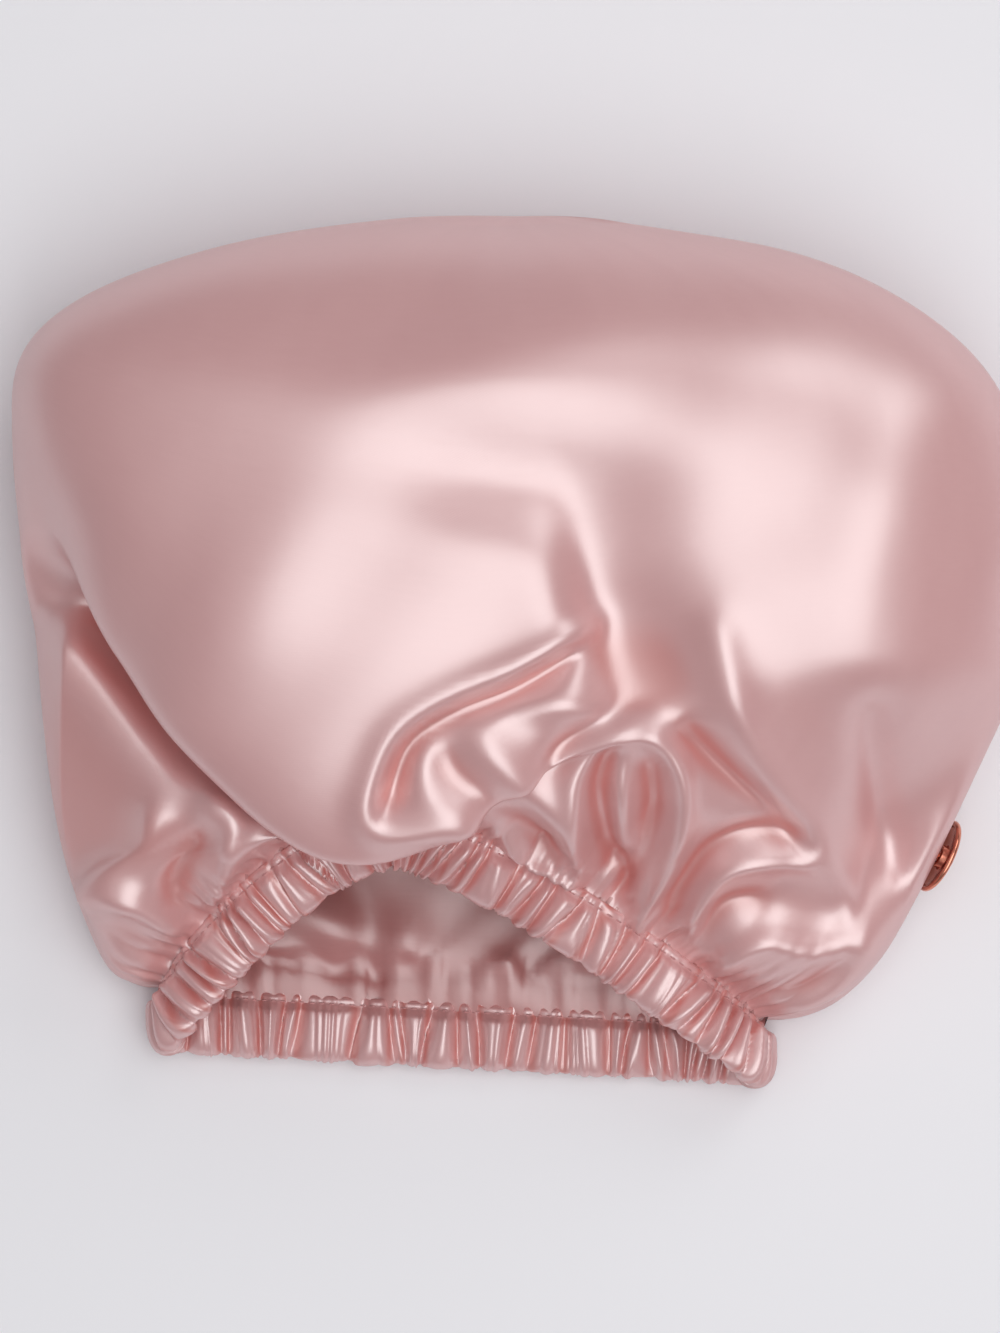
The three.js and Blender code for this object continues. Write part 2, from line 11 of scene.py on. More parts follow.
import bpy
import numpy as np
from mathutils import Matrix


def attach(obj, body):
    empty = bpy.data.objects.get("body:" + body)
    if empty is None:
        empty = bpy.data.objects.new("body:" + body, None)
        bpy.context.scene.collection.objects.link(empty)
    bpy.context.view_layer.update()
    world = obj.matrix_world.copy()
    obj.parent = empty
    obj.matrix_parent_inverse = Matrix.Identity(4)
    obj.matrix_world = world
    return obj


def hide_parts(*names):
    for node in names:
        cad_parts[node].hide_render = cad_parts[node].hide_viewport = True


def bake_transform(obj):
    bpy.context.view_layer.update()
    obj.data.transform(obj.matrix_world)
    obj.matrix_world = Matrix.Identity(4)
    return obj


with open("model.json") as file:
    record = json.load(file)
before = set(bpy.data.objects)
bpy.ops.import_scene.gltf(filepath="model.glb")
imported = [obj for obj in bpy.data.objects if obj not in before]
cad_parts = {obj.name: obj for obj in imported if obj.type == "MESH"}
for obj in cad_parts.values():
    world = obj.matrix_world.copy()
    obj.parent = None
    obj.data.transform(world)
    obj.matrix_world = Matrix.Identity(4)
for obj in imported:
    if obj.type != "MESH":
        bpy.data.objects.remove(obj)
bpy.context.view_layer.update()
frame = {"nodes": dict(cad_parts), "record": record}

# %% [markdown]
# ## Camera and light
# The photograph looks straight down on a cap that lies on a pale table. A long lens far above gives
# the same flat view. Satin shows what it mirrors, so the lamps are large soft panels: one high on the
# right that reaches far to the front, and a smaller one behind on the right. A weak wide ceiling and
# a pale room fill the shadows.

# %% Camera
MM = 0.001
IMAGE_WIDTH = 1000  # pixels
MM_PER_PIXEL = 0.293
VIEW_CENTRE = (-3.5, -7.8)  # millimetres, what the middle of the picture shows
CAMERA_HEIGHT = 2.2  # metres above the table
OUTLINE_HEIGHT = 0.045  # the cap is widest about here
SENSOR_WIDTH = 36.0  # millimetres of the camera's chip

scene = bpy.context.scene
scene.view_settings.view_transform = "Standard"
camera_data = bpy.data.cameras.new("camera")
camera_data.sensor_fit = "HORIZONTAL"
camera_data.sensor_width = SENSOR_WIDTH
view_width = IMAGE_WIDTH * MM_PER_PIXEL * MM
camera_data.lens = SENSOR_WIDTH * (CAMERA_HEIGHT - OUTLINE_HEIGHT) / view_width
camera = bpy.data.objects.new("camera", camera_data)
camera.location = (VIEW_CENTRE[0] * MM, VIEW_CENTRE[1] * MM, CAMERA_HEIGHT)
scene.collection.objects.link(camera)
scene.camera = camera
print("lens", round(camera_data.lens, 1), "mm")

# %% Lamps and room
def soft_panel(name, place, aim, size, power):
    """A rectangular lamp at place, turned so that it faces aim. Sizes in metres, power in watts."""
    lamp = bpy.data.lights.new(name, "AREA")
    lamp.shape = "RECTANGLE"
    lamp.size, lamp.size_y = size
    lamp.energy = power
    holder = bpy.data.objects.new(name, lamp)
    holder.location = place
    direction = np.array(aim, float) - np.array(place, float)
    across = math.hypot(direction[0], direction[1])
    tilt = math.atan2(across, -direction[2])
    heading = math.atan2(direction[0], -direction[1]) + math.pi
    holder.rotation_euler = (tilt, 0, heading)
    scene.collection.objects.link(holder)
    print(name, power, "W")


soft_panel("ceiling", (0, 0, 3.2), (0, -0.001, 0), (5.0, 5.0), 20)
soft_panel("overhead_panel", (0.72, -0.75, 2.5), (0.72, -0.751, 0), (2.1, 3.4), 39)
soft_panel("back_panel", (1.05, 1.45, 1.3), (0, 0, 0.05), (0.9, 1.2), 7)

ROOM_COLOUR, ROOM_STRENGTH = (0.80, 0.80, 0.83, 1), 0.34
room = bpy.data.worlds.new("room")
room.use_nodes = True
backdrop = room.node_tree.nodes["Background"]
backdrop.inputs["Color"].default_value = ROOM_COLOUR
backdrop.inputs["Strength"].default_value = ROOM_STRENGTH
scene.world = room

# %% [markdown]
# ## Shader maths as plain expressions
# A finish is a little formula: a colour that drifts, a bump that follows the weave. Written with node
# calls it would be hard to read, so one small class wraps a socket, and + - * add the Math nodes.

# %% Socket wrapper
class Sock:
    """A node socket with arithmetic. shader_node() makes any other node and returns one of its outputs."""

    def __init__(self, tree, socket):
        self.tree = tree
        self.socket = socket

    def math(self, operation, other, swap=False):
        """A Math node of this value and another one or a plain number."""
        pair = (other, self) if swap else (self, other)
        return shader_node(self.tree, "ShaderNodeMath", {"operation": operation}, {0: pair[0], 1: pair[1]})

    def __add__(self, other):
        return self.math("ADD", other)

    def __sub__(self, other):
        return self.math("SUBTRACT", other)

    def __rsub__(self, other):
        return self.math("SUBTRACT", other, swap=True)

    def __mul__(self, other):
        return self.math("MULTIPLY", other)

    __radd__ = __add__
    __rmul__ = __mul__


def shader_node(tree, kind, settings=None, inputs=None, output=0):
    """Adds a node, sets its settings first, then each input to a link or a value."""
    made = tree.nodes.new(kind)
    for key, value in (settings or {}).items():
        setattr(made, key, value)
    for key, value in (inputs or {}).items():
        if isinstance(value, Sock):
            tree.links.new(value.socket, made.inputs[key])
        else:
            made.inputs[key].default_value = value
    return Sock(tree, made.outputs[output])


def noise(tree, place, scale, detail=2.0):
    """A Noise texture at a place. Its value wanders between 0 and 1, in smaller steps for a larger scale."""
    inputs = {"Vector": place, "Scale": scale, "Detail": detail}
    return shader_node(tree, "ShaderNodeTexNoise", inputs=inputs)


def colour_between(tree, share, first, second):
    """The colour at a share of the way from the first one to the second."""
    settings = {"data_type": "RGBA", "clamp_factor": True}
    return shader_node(tree, "ShaderNodeMix", settings, {0: share, 6: first, 7: second}, output=2)


def bump(tree, height, strength, distance):
    """Shading as if the surface were lifted by height times distance, in metres."""
    inputs = {"Strength": strength, "Distance": distance, "Height": height}
    return shader_node(tree, "ShaderNodeBump", inputs=inputs)


def srgb(red, green, blue):
    """A colour given as 0 to 255 on a screen, as the linear colour that shaders use."""
    share = np.array([red, green, blue]) / 255
    linear = np.where(share <= 0.04045, share / 12.92, ((share + 0.055) / 1.055) ** 2.4)
    return (*linear.tolist(), 1.0)


def new_finish(name, constants):
    """A material with one Principled shader. The constants are set on its own sockets."""
    finish = bpy.data.materials.new(name)
    finish.use_nodes = True
    shader = finish.node_tree.nodes["Principled BSDF"]
    for key, value in constants.items():
        shader.inputs[key].default_value = value
    return finish, finish.node_tree, shader


def feed(tree, shader, **links):
    """Links values to the shader's sockets; an underscore in a name stands for a space."""
    for key, value in links.items():
        tree.links.new(value.socket, shader.inputs[key.replace("_", " ")])

# %% [markdown]
# ## Cloth finishes
# Satin is woven so that long threads float on its face: it mirrors in a soft, broad way. In its
# folds its colour is painted darker and warmer: painted shade, warmed as by light passed from cloth to
# cloth. A picture of cloth could be wrapped round the cap, but a formula has no seams and no grain of
# its own. The map of the cloth is in millimetres, so the weave and the slubs have their real size
# wherever the cloth goes.

# %% Satin, lining, thread and elastic
SLUB_STRETCH = (0.05, 0.9, 1.0)  # slubs are long round the cap and thin along the lines of cloth
SLUB_SCALE, DRIFT_SCALE = 1.0, 0.02  # per millimetre of cloth
SLUB_TONE, DRIFT_TONE, TONE_CONTRAST = 0.35, 0.65, 1.4
WEFT_LEAN = 0.2  # the weft crosses the warp at a slant
WARP_LIFT, WEFT_LIFT, SLUB_LIFT = 0.35, 0.5, 0.9
WEAVE_BUMP, WEAVE_HEIGHT = 0.06, 0.0003
ROUGHNESS_SPREAD = 0.08


def cloth_finish(name, light, deep, painted_shade_colour, roughness, weave, constants):
    """Woven cloth: its colour drifts between two tones, and the weave lifts the surface a little. In the
    hollows of its folds the colour is painted towards a third, darker and warmer one: painted shade."""
    finish, tree, shader = new_finish(name, constants)
    cloth_map = shader_node(tree, "ShaderNodeUVMap", {"uv_map": "cloth"})
    parts = shader_node(tree, "ShaderNodeSeparateXYZ", inputs={0: cloth_map})
    across = Sock(tree, parts.socket.node.outputs[0])
    along = Sock(tree, parts.socket.node.outputs[1])
    turn = 2 * math.pi / weave
    warp = (across * turn).math("SINE", 0.0)
    weft = (along * turn + across * (turn * WEFT_LEAN)).math("SINE", 0.0)
    stretched = shader_node(tree, "ShaderNodeMapping", inputs={"Vector": cloth_map, "Scale": SLUB_STRETCH})
    slub = noise(tree, stretched, SLUB_SCALE, 3.0)
    drift = noise(tree, cloth_map, DRIFT_SCALE)
    tone = (slub * SLUB_TONE + drift * DRIFT_TONE - 0.5) * TONE_CONTRAST + 0.5
    colour = colour_between(tree, tone, deep, light)
    # Painted shade: a value stored with the mesh turns the colour darker and warmer in the hollows of folds.
    painted_fold_shade = shader_node(tree, "ShaderNodeAttribute", {"attribute_name": "painted_fold_shade"}, output=2)
    colour = colour_between(tree, painted_fold_shade, colour, painted_shade_colour)
    lift = warp * WARP_LIFT + weft * WEFT_LIFT + slub * SLUB_LIFT
    weave_bump = bump(tree, lift, WEAVE_BUMP, WEAVE_HEIGHT)
    rough_here = slub * ROUGHNESS_SPREAD + (roughness - ROUGHNESS_SPREAD / 2)
    feed(tree, shader, Base_Color=colour, Roughness=rough_here, Normal=weave_bump)
    return finish


WEAVE, THREAD_TWIST, ELASTIC_WEAVE = 0.45, 0.25, 0.8  # millimetres from one thread to the next
# Each cloth's third colour is its painted shade, which the hollows of its folds are painted towards.
satin = cloth_finish(
    "pink_satin", srgb(222, 163, 161), srgb(213, 150, 149), srgb(208, 114, 106), 0.34, WEAVE,
    {"IOR": 2.2, "Specular IOR Level": 1.0, "Sheen Weight": 0.05, "Sheen Roughness": 0.4},
)
lining_cloth = cloth_finish(
    "pink_lining", srgb(200, 136, 133), srgb(184, 118, 116), srgb(162, 86, 82), 0.34, WEAVE,
    {"IOR": 1.8, "Specular IOR Level": 0.8, "Sheen Weight": 0.03},
)
thread_cloth = cloth_finish(
    "pink_thread", srgb(206, 152, 150), srgb(186, 128, 128), srgb(186, 128, 128), 0.5, THREAD_TWIST,
    {"Sheen Weight": 0.2},
)
elastic_cloth = cloth_finish(
    "woven_elastic", srgb(243, 234, 230), srgb(226, 212, 207), srgb(226, 212, 207), 0.75, ELASTIC_WEAVE,
    {"Sheen Weight": 0.15},
)
print("finishes", [cloth.name for cloth in (satin, lining_cloth, thread_cloth, elastic_cloth)])

# %% [markdown]
# ## Floor
# A wide pale sheet, a little darker than white, which keeps the soft shadow of the cap. A backdrop that
# curves up would do too. Seen from above, a flat sheet looks the same and is simpler.

# %% Floor
FLOOR_REACH = 6.0  # metres to each side
FLOOR_DROP = 0.0003  # so that the floor and the cloth that rests on it don't share a plane
floor_finish, floor_tree, floor_shader = new_finish(
    "pale_table", {"Roughness": 0.9, "Specular IOR Level": 0.1},
)
floor_place = shader_node(floor_tree, "ShaderNodeTexCoord", output=3)
floor_grain = noise(floor_tree, floor_place, 3.0)
floor_colour = colour_between(floor_tree, floor_grain, srgb(244, 243, 246), srgb(247, 246, 249))
feed(floor_tree, floor_shader, Base_Color=floor_colour)
floor_mesh = bpy.data.meshes.new("floor")
floor_corners = FLOOR_REACH * np.array([[-1, -1, 0], [1, -1, 0], [1, 1, 0], [-1, 1, 0]])
floor_mesh.from_pydata(floor_corners.tolist(), [], [(0, 1, 2, 3)])
floor_mesh.materials.append(floor_finish)
floor = bpy.data.objects.new("floor", floor_mesh)
floor.location.z = -FLOOR_DROP
scene.collection.objects.link(floor)
print("floor", 2 * FLOOR_REACH, "m wide")

# %% [markdown]
# ## The hem's line
# Everything is sewn to one closed line: the middle of the hem. Its lower lip lies nearly straight on
# the table, and its upper lip climbs to a peak. It could be a drawn curve, but a formula also gives
# the directions along the hem, out of the cap and back to the crown at any point. The same formula
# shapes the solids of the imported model, in millimetres, so the pieces land where the frame has them.

# %% Hem line
MOUTH_WIDTH = 176.0
MOUTH_SHIFT = -15.0
LOWER_LIP_Y = -117.0
LIP_SLANT = -0.055
LIP_SETBACK = 59.0
LIP_RISE = 32.0
PEAK_SHIFT = 19.0
CORNER_LIFT = 13.0
LIP_ROUNDNESS = 1.5
LIP_LEAN = 0.5
HEM_HEIGHT = 5.5
HEM_HALF = 8.75  # half the sleeve's width
CORNER_CLOSENESS = 50.0  # how much closer the steps stand where the hem turns


def smoothstep(x, low, high):
    """0 below low, 1 above high, and a smooth S between them."""
    t = np.clip((np.asarray(x, float) - low) / (high - low), 0, 1)
    return t * t * (3 - 2 * t)


def mix(a, b, share):
    """From a to b by a share."""
    return a + (b - a) * share


def unit(vectors):
    """Vectors of length 1."""
    return vectors / np.maximum(np.linalg.norm(vectors, axis=-1, keepdims=True), 1e-9)


def signed_power(x, power):
    """The size of x to a power, with the sign of x. It flattens or rounds a sine."""
    return np.sign(x) * np.abs(x) ** power


def hem_point(angle):
    """The hem's middle at an angle: 0 is the right corner, a quarter turn the upper lip's peak."""
    c, s = np.cos(angle), np.sin(angle)
    arch = np.where(s > 0, 1 - np.abs(c) ** LIP_ROUNDNESS, 0)
    across = MOUTH_WIDTH / 2 * c - PEAK_SHIFT * arch
    return np.stack([
        MOUTH_SHIFT + across,
        LOWER_LIP_Y + LIP_SLANT * across + LIP_SETBACK * arch,
        HEM_HEIGHT + CORNER_LIFT * smoothstep(s, -0.4, 0.4) + LIP_RISE * arch,
    ], axis=-1)


def hem_axes(angle):
    """Directions at an angle of the hem: along it, out of the cap, and back towards the crown."""
    along = unit(hem_point(angle + 0.01) - hem_point(angle - 0.01))
    c, s = np.cos(angle), np.sin(angle)
    facing = np.stack([c, -LIP_LEAN * smoothstep(s, 0, 0.7), s], axis=-1)
    back = unit(np.cross(along, facing))
    return along, unit(np.cross(back, along)), back


def hem_offset(angle, towards_crown, outwards):
    """A point of the hem's section, that far towards the crown and that far out of the cap."""
    along, out, back = hem_axes(angle)
    w = np.asarray(towards_crown, float)[..., None]
    n = np.asarray(outwards, float)[..., None]
    return hem_point(angle) + back * w + out * n


ring_angles = np.linspace(0, 2 * np.pi, 721)
ring_lengths = np.linalg.norm(np.diff(hem_point(ring_angles), axis=0), axis=-1)
ring_run = np.concatenate([[0], np.cumsum(ring_lengths + CORNER_CLOSENESS * np.diff(ring_angles))])


def ring_angle(share):
    """The angle at a share of the way round the hem, with closer steps at the corners."""
    return np.interp(np.mod(share, 1) * ring_run[-1], ring_run, ring_angles)


print("hem length", round(float(ring_lengths.sum()), 1), "mm")

# %% [markdown]
# ## Pleats
# Elastic draws the hem in, so the cloth stands in pleats. No two are alike: widths and heights come
# from one seeded draw, which is the same on every run, where a simulation would put the pleats at
# other places after each change. A pleat is a round lobe with a narrow valley on each side, and the
# crown's folds start from the same pleats, so that they run on over the seam.

# %% Pleats
GATHER_COUNT, FOLD_COUNT = 68, 24
draw = np.random.default_rng(7)


def uneven_bounds(count, spread):
    """Where one pleat ends and the next begins, as shares of the ring, for uneven widths."""
    widths = np.exp(spread * draw.standard_normal(count))
    return np.concatenate([[0], np.cumsum(widths) / widths.sum()])


def lobes(share, bounds, heights, power):
    """Round lobes between the bounds: a half sine to a power, times each lobe's own height."""
    phase = np.interp(np.mod(share, 1), bounds, np.arange(len(bounds)))
    which = np.clip(phase.astype(int), 0, len(bounds) - 2)
    return heights[which] * np.sin(np.pi * (phase - which)) ** power


pleat_bounds = uneven_bounds(GATHER_COUNT, 0.5)
pleat_heights = draw.uniform(0.55, 1.15, GATHER_COUNT)
fine_bounds = uneven_bounds(2 * GATHER_COUNT, 0.45)
fine_heights = draw.uniform(0.2, 1.0, 2 * GATHER_COUNT)
fold_bounds = uneven_bounds(FOLD_COUNT, 0.35)
fold_heights = draw.uniform(0.55, 1.2, FOLD_COUNT)
narrowest = float(np.diff(pleat_bounds).min() * ring_lengths.sum())
print("pleats", GATHER_COUNT, "narrowest", round(narrowest, 1), "mm")

# %% [markdown]
# ## The crown's smooth shape
# Lines of cloth run from the hem to the far end. Each passes a few knots: out of the hem, over the
# shoulder, up to the brow, and over oval sections to the back. On the left the crown flops over
# itself, so there the lines dip into a crease before they turn over the fold's edge. The shape could
# be sculpted. Knots keep it in a few numbers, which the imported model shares.

# %% Crown knots
SECTIONS = [  # y, half width, top, waist, base, shift along X, how much further back the left end is
    (-56, 135, 58, 33, -0.5, -5, 0),
    (-10, 150, 95, 42, -0.5, 1, 0),
    (30, 152, 104, 46, -0.5, 1, 44),
    (80, 151, 95, 46, 2, 1, 8),
    (114, 119, 75, 43, 12, 0, 0),
]
FAR_END = np.array([-10.0, 136.0, 42.0])
ARCH_POWER = 0.8
SHOULDER_REACH, SHOULDER_SWELL = 14.0, 9.0
CORNER_REACH, RIGHT_SWELL, LEFT_SWELL = 1.0, 30.0, 23.0
BROW_REACH, BROW_SWELL = 36.0, 26.0
PEAK_REACH, PEAK_SWELL = 5.0, 12.0
FLOP_EDGE = np.array([-33.0, -70.0, 72.0])
FLOP_RUN = np.array([-116.0, 128.0, -20.0])
FLOP_ARCH, FLOP_CURVE = 6.0, 1.6
FLOP_ROUND = np.array([0.0, 9.0, 13.0])
TUCK_BACK, TUCK_DROP, PEAK_DROP = 15.0, 30.0, 3.0
SEAM_GAP = 0.3


def section_point(section, angle):
    """A point of a flat-bottomed oval section: boxy above its waist and flat where it rests."""
    y, half_width, top, waist, base, shift, left_back = section
    c, s = np.cos(angle), np.sin(angle)
    arch = np.abs(s) ** ARCH_POWER
    height = np.where(s > 0, mix(waist, top, arch), mix(waist, base, np.minimum(1, 1.35 * arch)))
    return np.stack([shift + half_width * c, y + left_back * np.maximum(0, -c) ** 2, height], axis=-1)


def flop_point(angle, crease):
    """The flop's edge (crease 0), or the crease behind and below it (crease 1)."""
    turn = np.minimum(1.15, 2 * angle / np.pi - 1)
    run = np.maximum(0, turn) ** 0.75
    ending = 1 - 0.85 * smoothstep(run, 0.65, 1)
    drop = mix(PEAK_DROP, TUCK_DROP, smoothstep(run, 0.1, 0.6)) * ending * crease
    back = TUCK_BACK * ending * crease
    return np.stack([
        FLOP_EDGE[0] + FLOP_RUN[0] * np.minimum(1, np.where(turn > 0, run, turn)) + 0.2 * back,
        FLOP_EDGE[1] + FLOP_RUN[1] * run ** FLOP_CURVE + back,
        FLOP_EDGE[2] + FLOP_RUN[2] * run ** 2 + FLOP_ARCH * np.sin(np.pi * run) - drop,
    ], axis=-1)


def crown_knots(angle):
    """The points that the lines of cloth pass, one row of points for each knot."""
    c, s = np.cos(angle), np.sin(angle)
    quarter = 2 * angle / np.pi
    flop = smoothstep(quarter, 0.68, 1.04) * (1 - smoothstep(quarter, 1.8, 2.3))
    peak = flop * (1 - smoothstep(quarter, 1.1, 1.55))
    front, brow, crest, nape, end = [section_point(section, angle) for section in SECTIONS]
    corner_swell = np.where(c > 0, RIGHT_SWELL, LEFT_SWELL)
    reach = mix(mix(SHOULDER_REACH, CORNER_REACH, c ** 4), PEAK_REACH, peak)
    swell = mix(mix(SHOULDER_SWELL, corner_swell, c ** 4), PEAK_SWELL, peak)
    level = np.ones_like(angle)
    standing = hem_offset(angle, level * (HEM_HALF + BROW_REACH), level * BROW_SWELL)
    front = mix(front, standing, smoothstep(s, 0.1, 0.6)[:, None])
    flop, peak = flop[:, None], peak[:, None]
    before_brow = mix(front, brow, 0.55)
    edge = flop_point(angle, 0.0)
    brow = mix(brow, edge, flop)
    after_brow = mix(brow, crest, 0.35)
    roundness = flop * (1 - smoothstep(quarter, 1.5, 1.9))[:, None]
    return np.stack([
        hem_offset(angle, level * (HEM_HALF + SEAM_GAP), 0 * level),
        hem_offset(angle, HEM_HALF + reach, swell),
        mix(front, hem_offset(angle, level * (HEM_HALF + PEAK_REACH), level * 1.25 * PEAK_SWELL), peak),
        mix(before_brow, flop_point(angle, 1.0), flop),
        brow,
        mix(after_brow, edge + FLOP_ROUND, roundness),
        crest,
        nape,
        end,
        np.broadcast_to(FAR_END, crest.shape),
    ])


print("sections", len(SECTIONS), "far end", FAR_END.tolist())

# %% [markdown]
# Smooth curves through the knots are the lines of cloth, and points on them make a net. Round the cap
# the columns stand closer together where the folds are, since these need more points.

# %% Lines of cloth
def smooth_lines(points, places):
    """Smooth curves through rows of points. Each span is a cubic whose slopes at both ends come from the
    steps before and after, weighed by the roots of their lengths, so that short steps don't overshoot.
    The first and the last row only steer the curves."""
    gap = np.sqrt(np.linalg.norm(np.diff(points, axis=0), axis=-1, keepdims=True))
    spans = len(points) - 3
    which = np.minimum((places * spans).astype(int), spans - 1)
    f = (places * spans - which)[:, None, None]
    p0, p1, p2, p3 = (points[which + k] for k in range(4))
    g0, g1, g2 = (gap[which + k] for k in range(3))
    leave = ((p1 - p0) / g0 - (p2 - p0) / (g0 + g1) + (p2 - p1) / g1) * g1
    arrive = ((p2 - p1) / g1 - (p3 - p1) / (g1 + g2) + (p3 - p2) / g2) * g1
    return (
        (2 * f ** 3 - 3 * f ** 2 + 1) * p1 + (f ** 3 - 2 * f ** 2 + f) * leave
        + (3 * f ** 2 - 2 * f ** 3) * p2 + (f ** 3 - f ** 2) * arrive
    )


COLUMNS, ROWS = 480, 190
DENSER, DENSEST = 0.35, 0.15  # columns stand closer round this share of the ring, where the folds are
steps_round = np.arange(COLUMNS) / COLUMNS
closer = np.sin(2 * np.pi * (steps_round - DENSEST)) + math.sin(2 * np.pi * DENSEST)
shares = steps_round - DENSER / (2 * np.pi) * closer
FINE_ROWS = 380  # the smooth shape is worked out on more rows than the cloth gets
KNOT_SPANS = 9  # a line of cloth passes ten knots, so a place on it is also a number of knots from 0 to 9
fine_places = np.linspace(0, 0.997, FINE_ROWS)
fine_knot = fine_places * KNOT_SPANS
angles = ring_angle(shares)
knots = crown_knots(angles)
sewn = hem_offset(angles, np.full(COLUMNS, HEM_HALF - SHOULDER_REACH), np.zeros(COLUMNS))
opposite = crown_knots(np.mod(angles + np.pi, 2 * np.pi))[-2]
crown_lines = smooth_lines(np.concatenate([sewn[None], knots, opposite[None]]), fine_places)
print("crown grid", crown_lines.shape)

# %% [markdown]
# Cloth never bends as sharply as a curve can, so the net of points is softened: each point becomes a
# weighted mean of its neighbours round the cap and along the lines. A Smooth modifier works alike
# everywhere. Here the hem's row stays where it is, and the far side is softened more than the front.

# %% Soften the net
def bell(width):
    """Weights of a bell curve that is width points wide to each side at 0.6 of its height."""
    reach = int(3 * width) + 1
    steps = np.arange(-reach, reach + 1)
    weights = np.exp(-0.5 * (steps / width) ** 2)
    return steps, weights / weights.sum()


opposite_share = np.interp(np.mod(angles + np.pi, 2 * np.pi), ring_angles, ring_run / ring_run[-1])
opposite_column = np.interp(opposite_share, shares, np.arange(COLUMNS)).round().astype(int) % COLUMNS


def soften(net, round_width, line_width):
    """Bell-weighted means round the cap and along the lines, which run on past the far end."""
    steps, weights = bell(round_width)
    round_mean = sum(w * np.roll(net, -k, axis=1) for k, w in zip(steps, weights))
    steps, weights = bell(line_width)
    reach = steps[-1]
    beyond = round_mean[:, opposite_column][:-1 - reach:-1]
    before = np.repeat(round_mean[:1], reach, axis=0)
    long = np.concatenate([before, round_mean, beyond])
    return sum(w * long[reach + k: reach + k + len(net)] for k, w in zip(steps, weights))


def soften_values(values, width):
    """The same for a net of single numbers, as far round the cap as along the lines."""
    return soften(values[..., None], width, width)[..., 0]


print("column 0 runs on past the far end as column", int(opposite_column[0]))

# %% [markdown]
# All lines meet at the far end and would pinch the cloth there. So the last rows become rings that
# shrink to one point on a low dome.

# %% Close the far end
CAP_START = 0.955  # of the way from the hem to the far end
CAP_DOME = 3.0
cap_row = int(np.searchsorted(fine_places, CAP_START))


def close_far_end(net):
    """Past one ring near the far end, rows become rings that shrink to its middle on a low dome."""
    ring = net[cap_row]
    middle = ring.mean(axis=0)
    share = np.linspace(1, 0.02, len(net) - cap_row)[:, None, None]
    dome = (1 - share ** 2) * CAP_DOME * np.array([0.0, 1.0, 0.0])
    return np.concatenate([net[:cap_row], middle + (ring - middle) * share + dome])


sewn_share = smoothstep(fine_places, 0, 0.06)[:, None, None]
rear_share = smoothstep(fine_knot, 3.5, 6.0)[:, None, None]
front_net = mix(crown_lines, soften(crown_lines, 7.0, 16.0), sewn_share)
rear_net = soften(crown_lines, 8.0, 32.0)
smooth_net = close_far_end(mix(front_net, rear_net, rear_share))
print("rows in the dome", FINE_ROWS - cap_row)

# %% [markdown]
# The cloth needs its points in the folds, so its rows are spaced evenly there and twice as far apart on
# the smooth far side. Then two places are put right: the flop's edge, which softening has drawn in, and
# the left corner, where the lines turn sharply.

# %% Rows of cloth
row_step = np.linalg.norm(np.diff(smooth_net, axis=0), axis=-1)[:, np.sin(angles) > 0].mean(axis=1)
row_need = row_step * (1 - 0.5 * smoothstep(fine_knot[1:], 5.6, 6.4))
row_run = np.concatenate([[0], np.cumsum(row_need)])
places = np.interp(np.linspace(0, row_run[-1], ROWS), row_run, fine_places)
row_knot = places * KNOT_SPANS


def pick_rows(net):
    """The rows that the cloth gets: evenly spaced over the folds, and half as many where it is smooth."""
    place = np.interp(places, fine_places, np.arange(FINE_ROWS))
    low = np.minimum(place.astype(int), FINE_ROWS - 2)
    return mix(net[low], net[low + 1], (place - low)[:, None, None])


LOBE_PUSH = np.array([-5.6, -4.8, -0.5])  # millimetres that the flop's edge is pushed out again
lobe_round = smoothstep(shares, 0.25, 0.32) * (1 - smoothstep(shares, 0.45, 0.51))
lobe_long = np.exp(-(((row_knot - 4.3) / 0.75) ** 2))
crown_net = pick_rows(smooth_net) + (lobe_long[:, None] * lobe_round)[..., None] * LOBE_PUSH

LEFT_CORNER, CORNER_SPREAD = 0.505, 0.035  # shares of the ring
corner_long = smoothstep(row_knot, 0.6, 1.6) * (1 - smoothstep(row_knot, 3.0, 4.2))
left_corner = np.exp(-(((shares - LEFT_CORNER) / CORNER_SPREAD) ** 2)) * corner_long[:, None]
crown_net = mix(crown_net, soften(crown_net, 13.0, 2.0), left_corner[..., None])
widest = float(np.diff(np.interp(places, fine_places, row_run)).max())
print("rows of cloth", ROWS, "widest step", round(widest, 2), "mm")

# %% [markdown]
# ## Left pouch
# Beside the mouth, under the edge of the flop, the cloth stands up in a pouch. Its crest runs from the
# cap's left side to the foot of the flop. The height is worked out as seen from above: the height of
# the crest, less a fall that is gentle on its outer side and steep where the cloth tucks under the flop.

# %% Left pouch
POUCH_CREST = [(-143, 20), (-131, -1), (-119, -17), (-108, -32), (-98, -43), (-86, -49)]  # from above
CREST_HEIGHTS = (50.0, 61.0)  # at the two ends of the crest
CREST_ROUND = 12.0
CREST_SAMPLES = 240
OUTER_SLOPE, TUCK_SLOPE = 1.1, 1.8


def fold_line(points, samples=48):
    """A smooth line through points seen from above, with the direction that it runs in."""
    ends = np.array([2 * np.array(points[0]) - points[1], 2 * np.array(points[-1]) - points[-2]])
    steered = np.concatenate([ends[:1], np.array(points, float), ends[1:]])[:, None, :]
    line = smooth_lines(steered, np.linspace(0, 1, samples))[:, 0]
    return line, unit(np.gradient(line, axis=0))


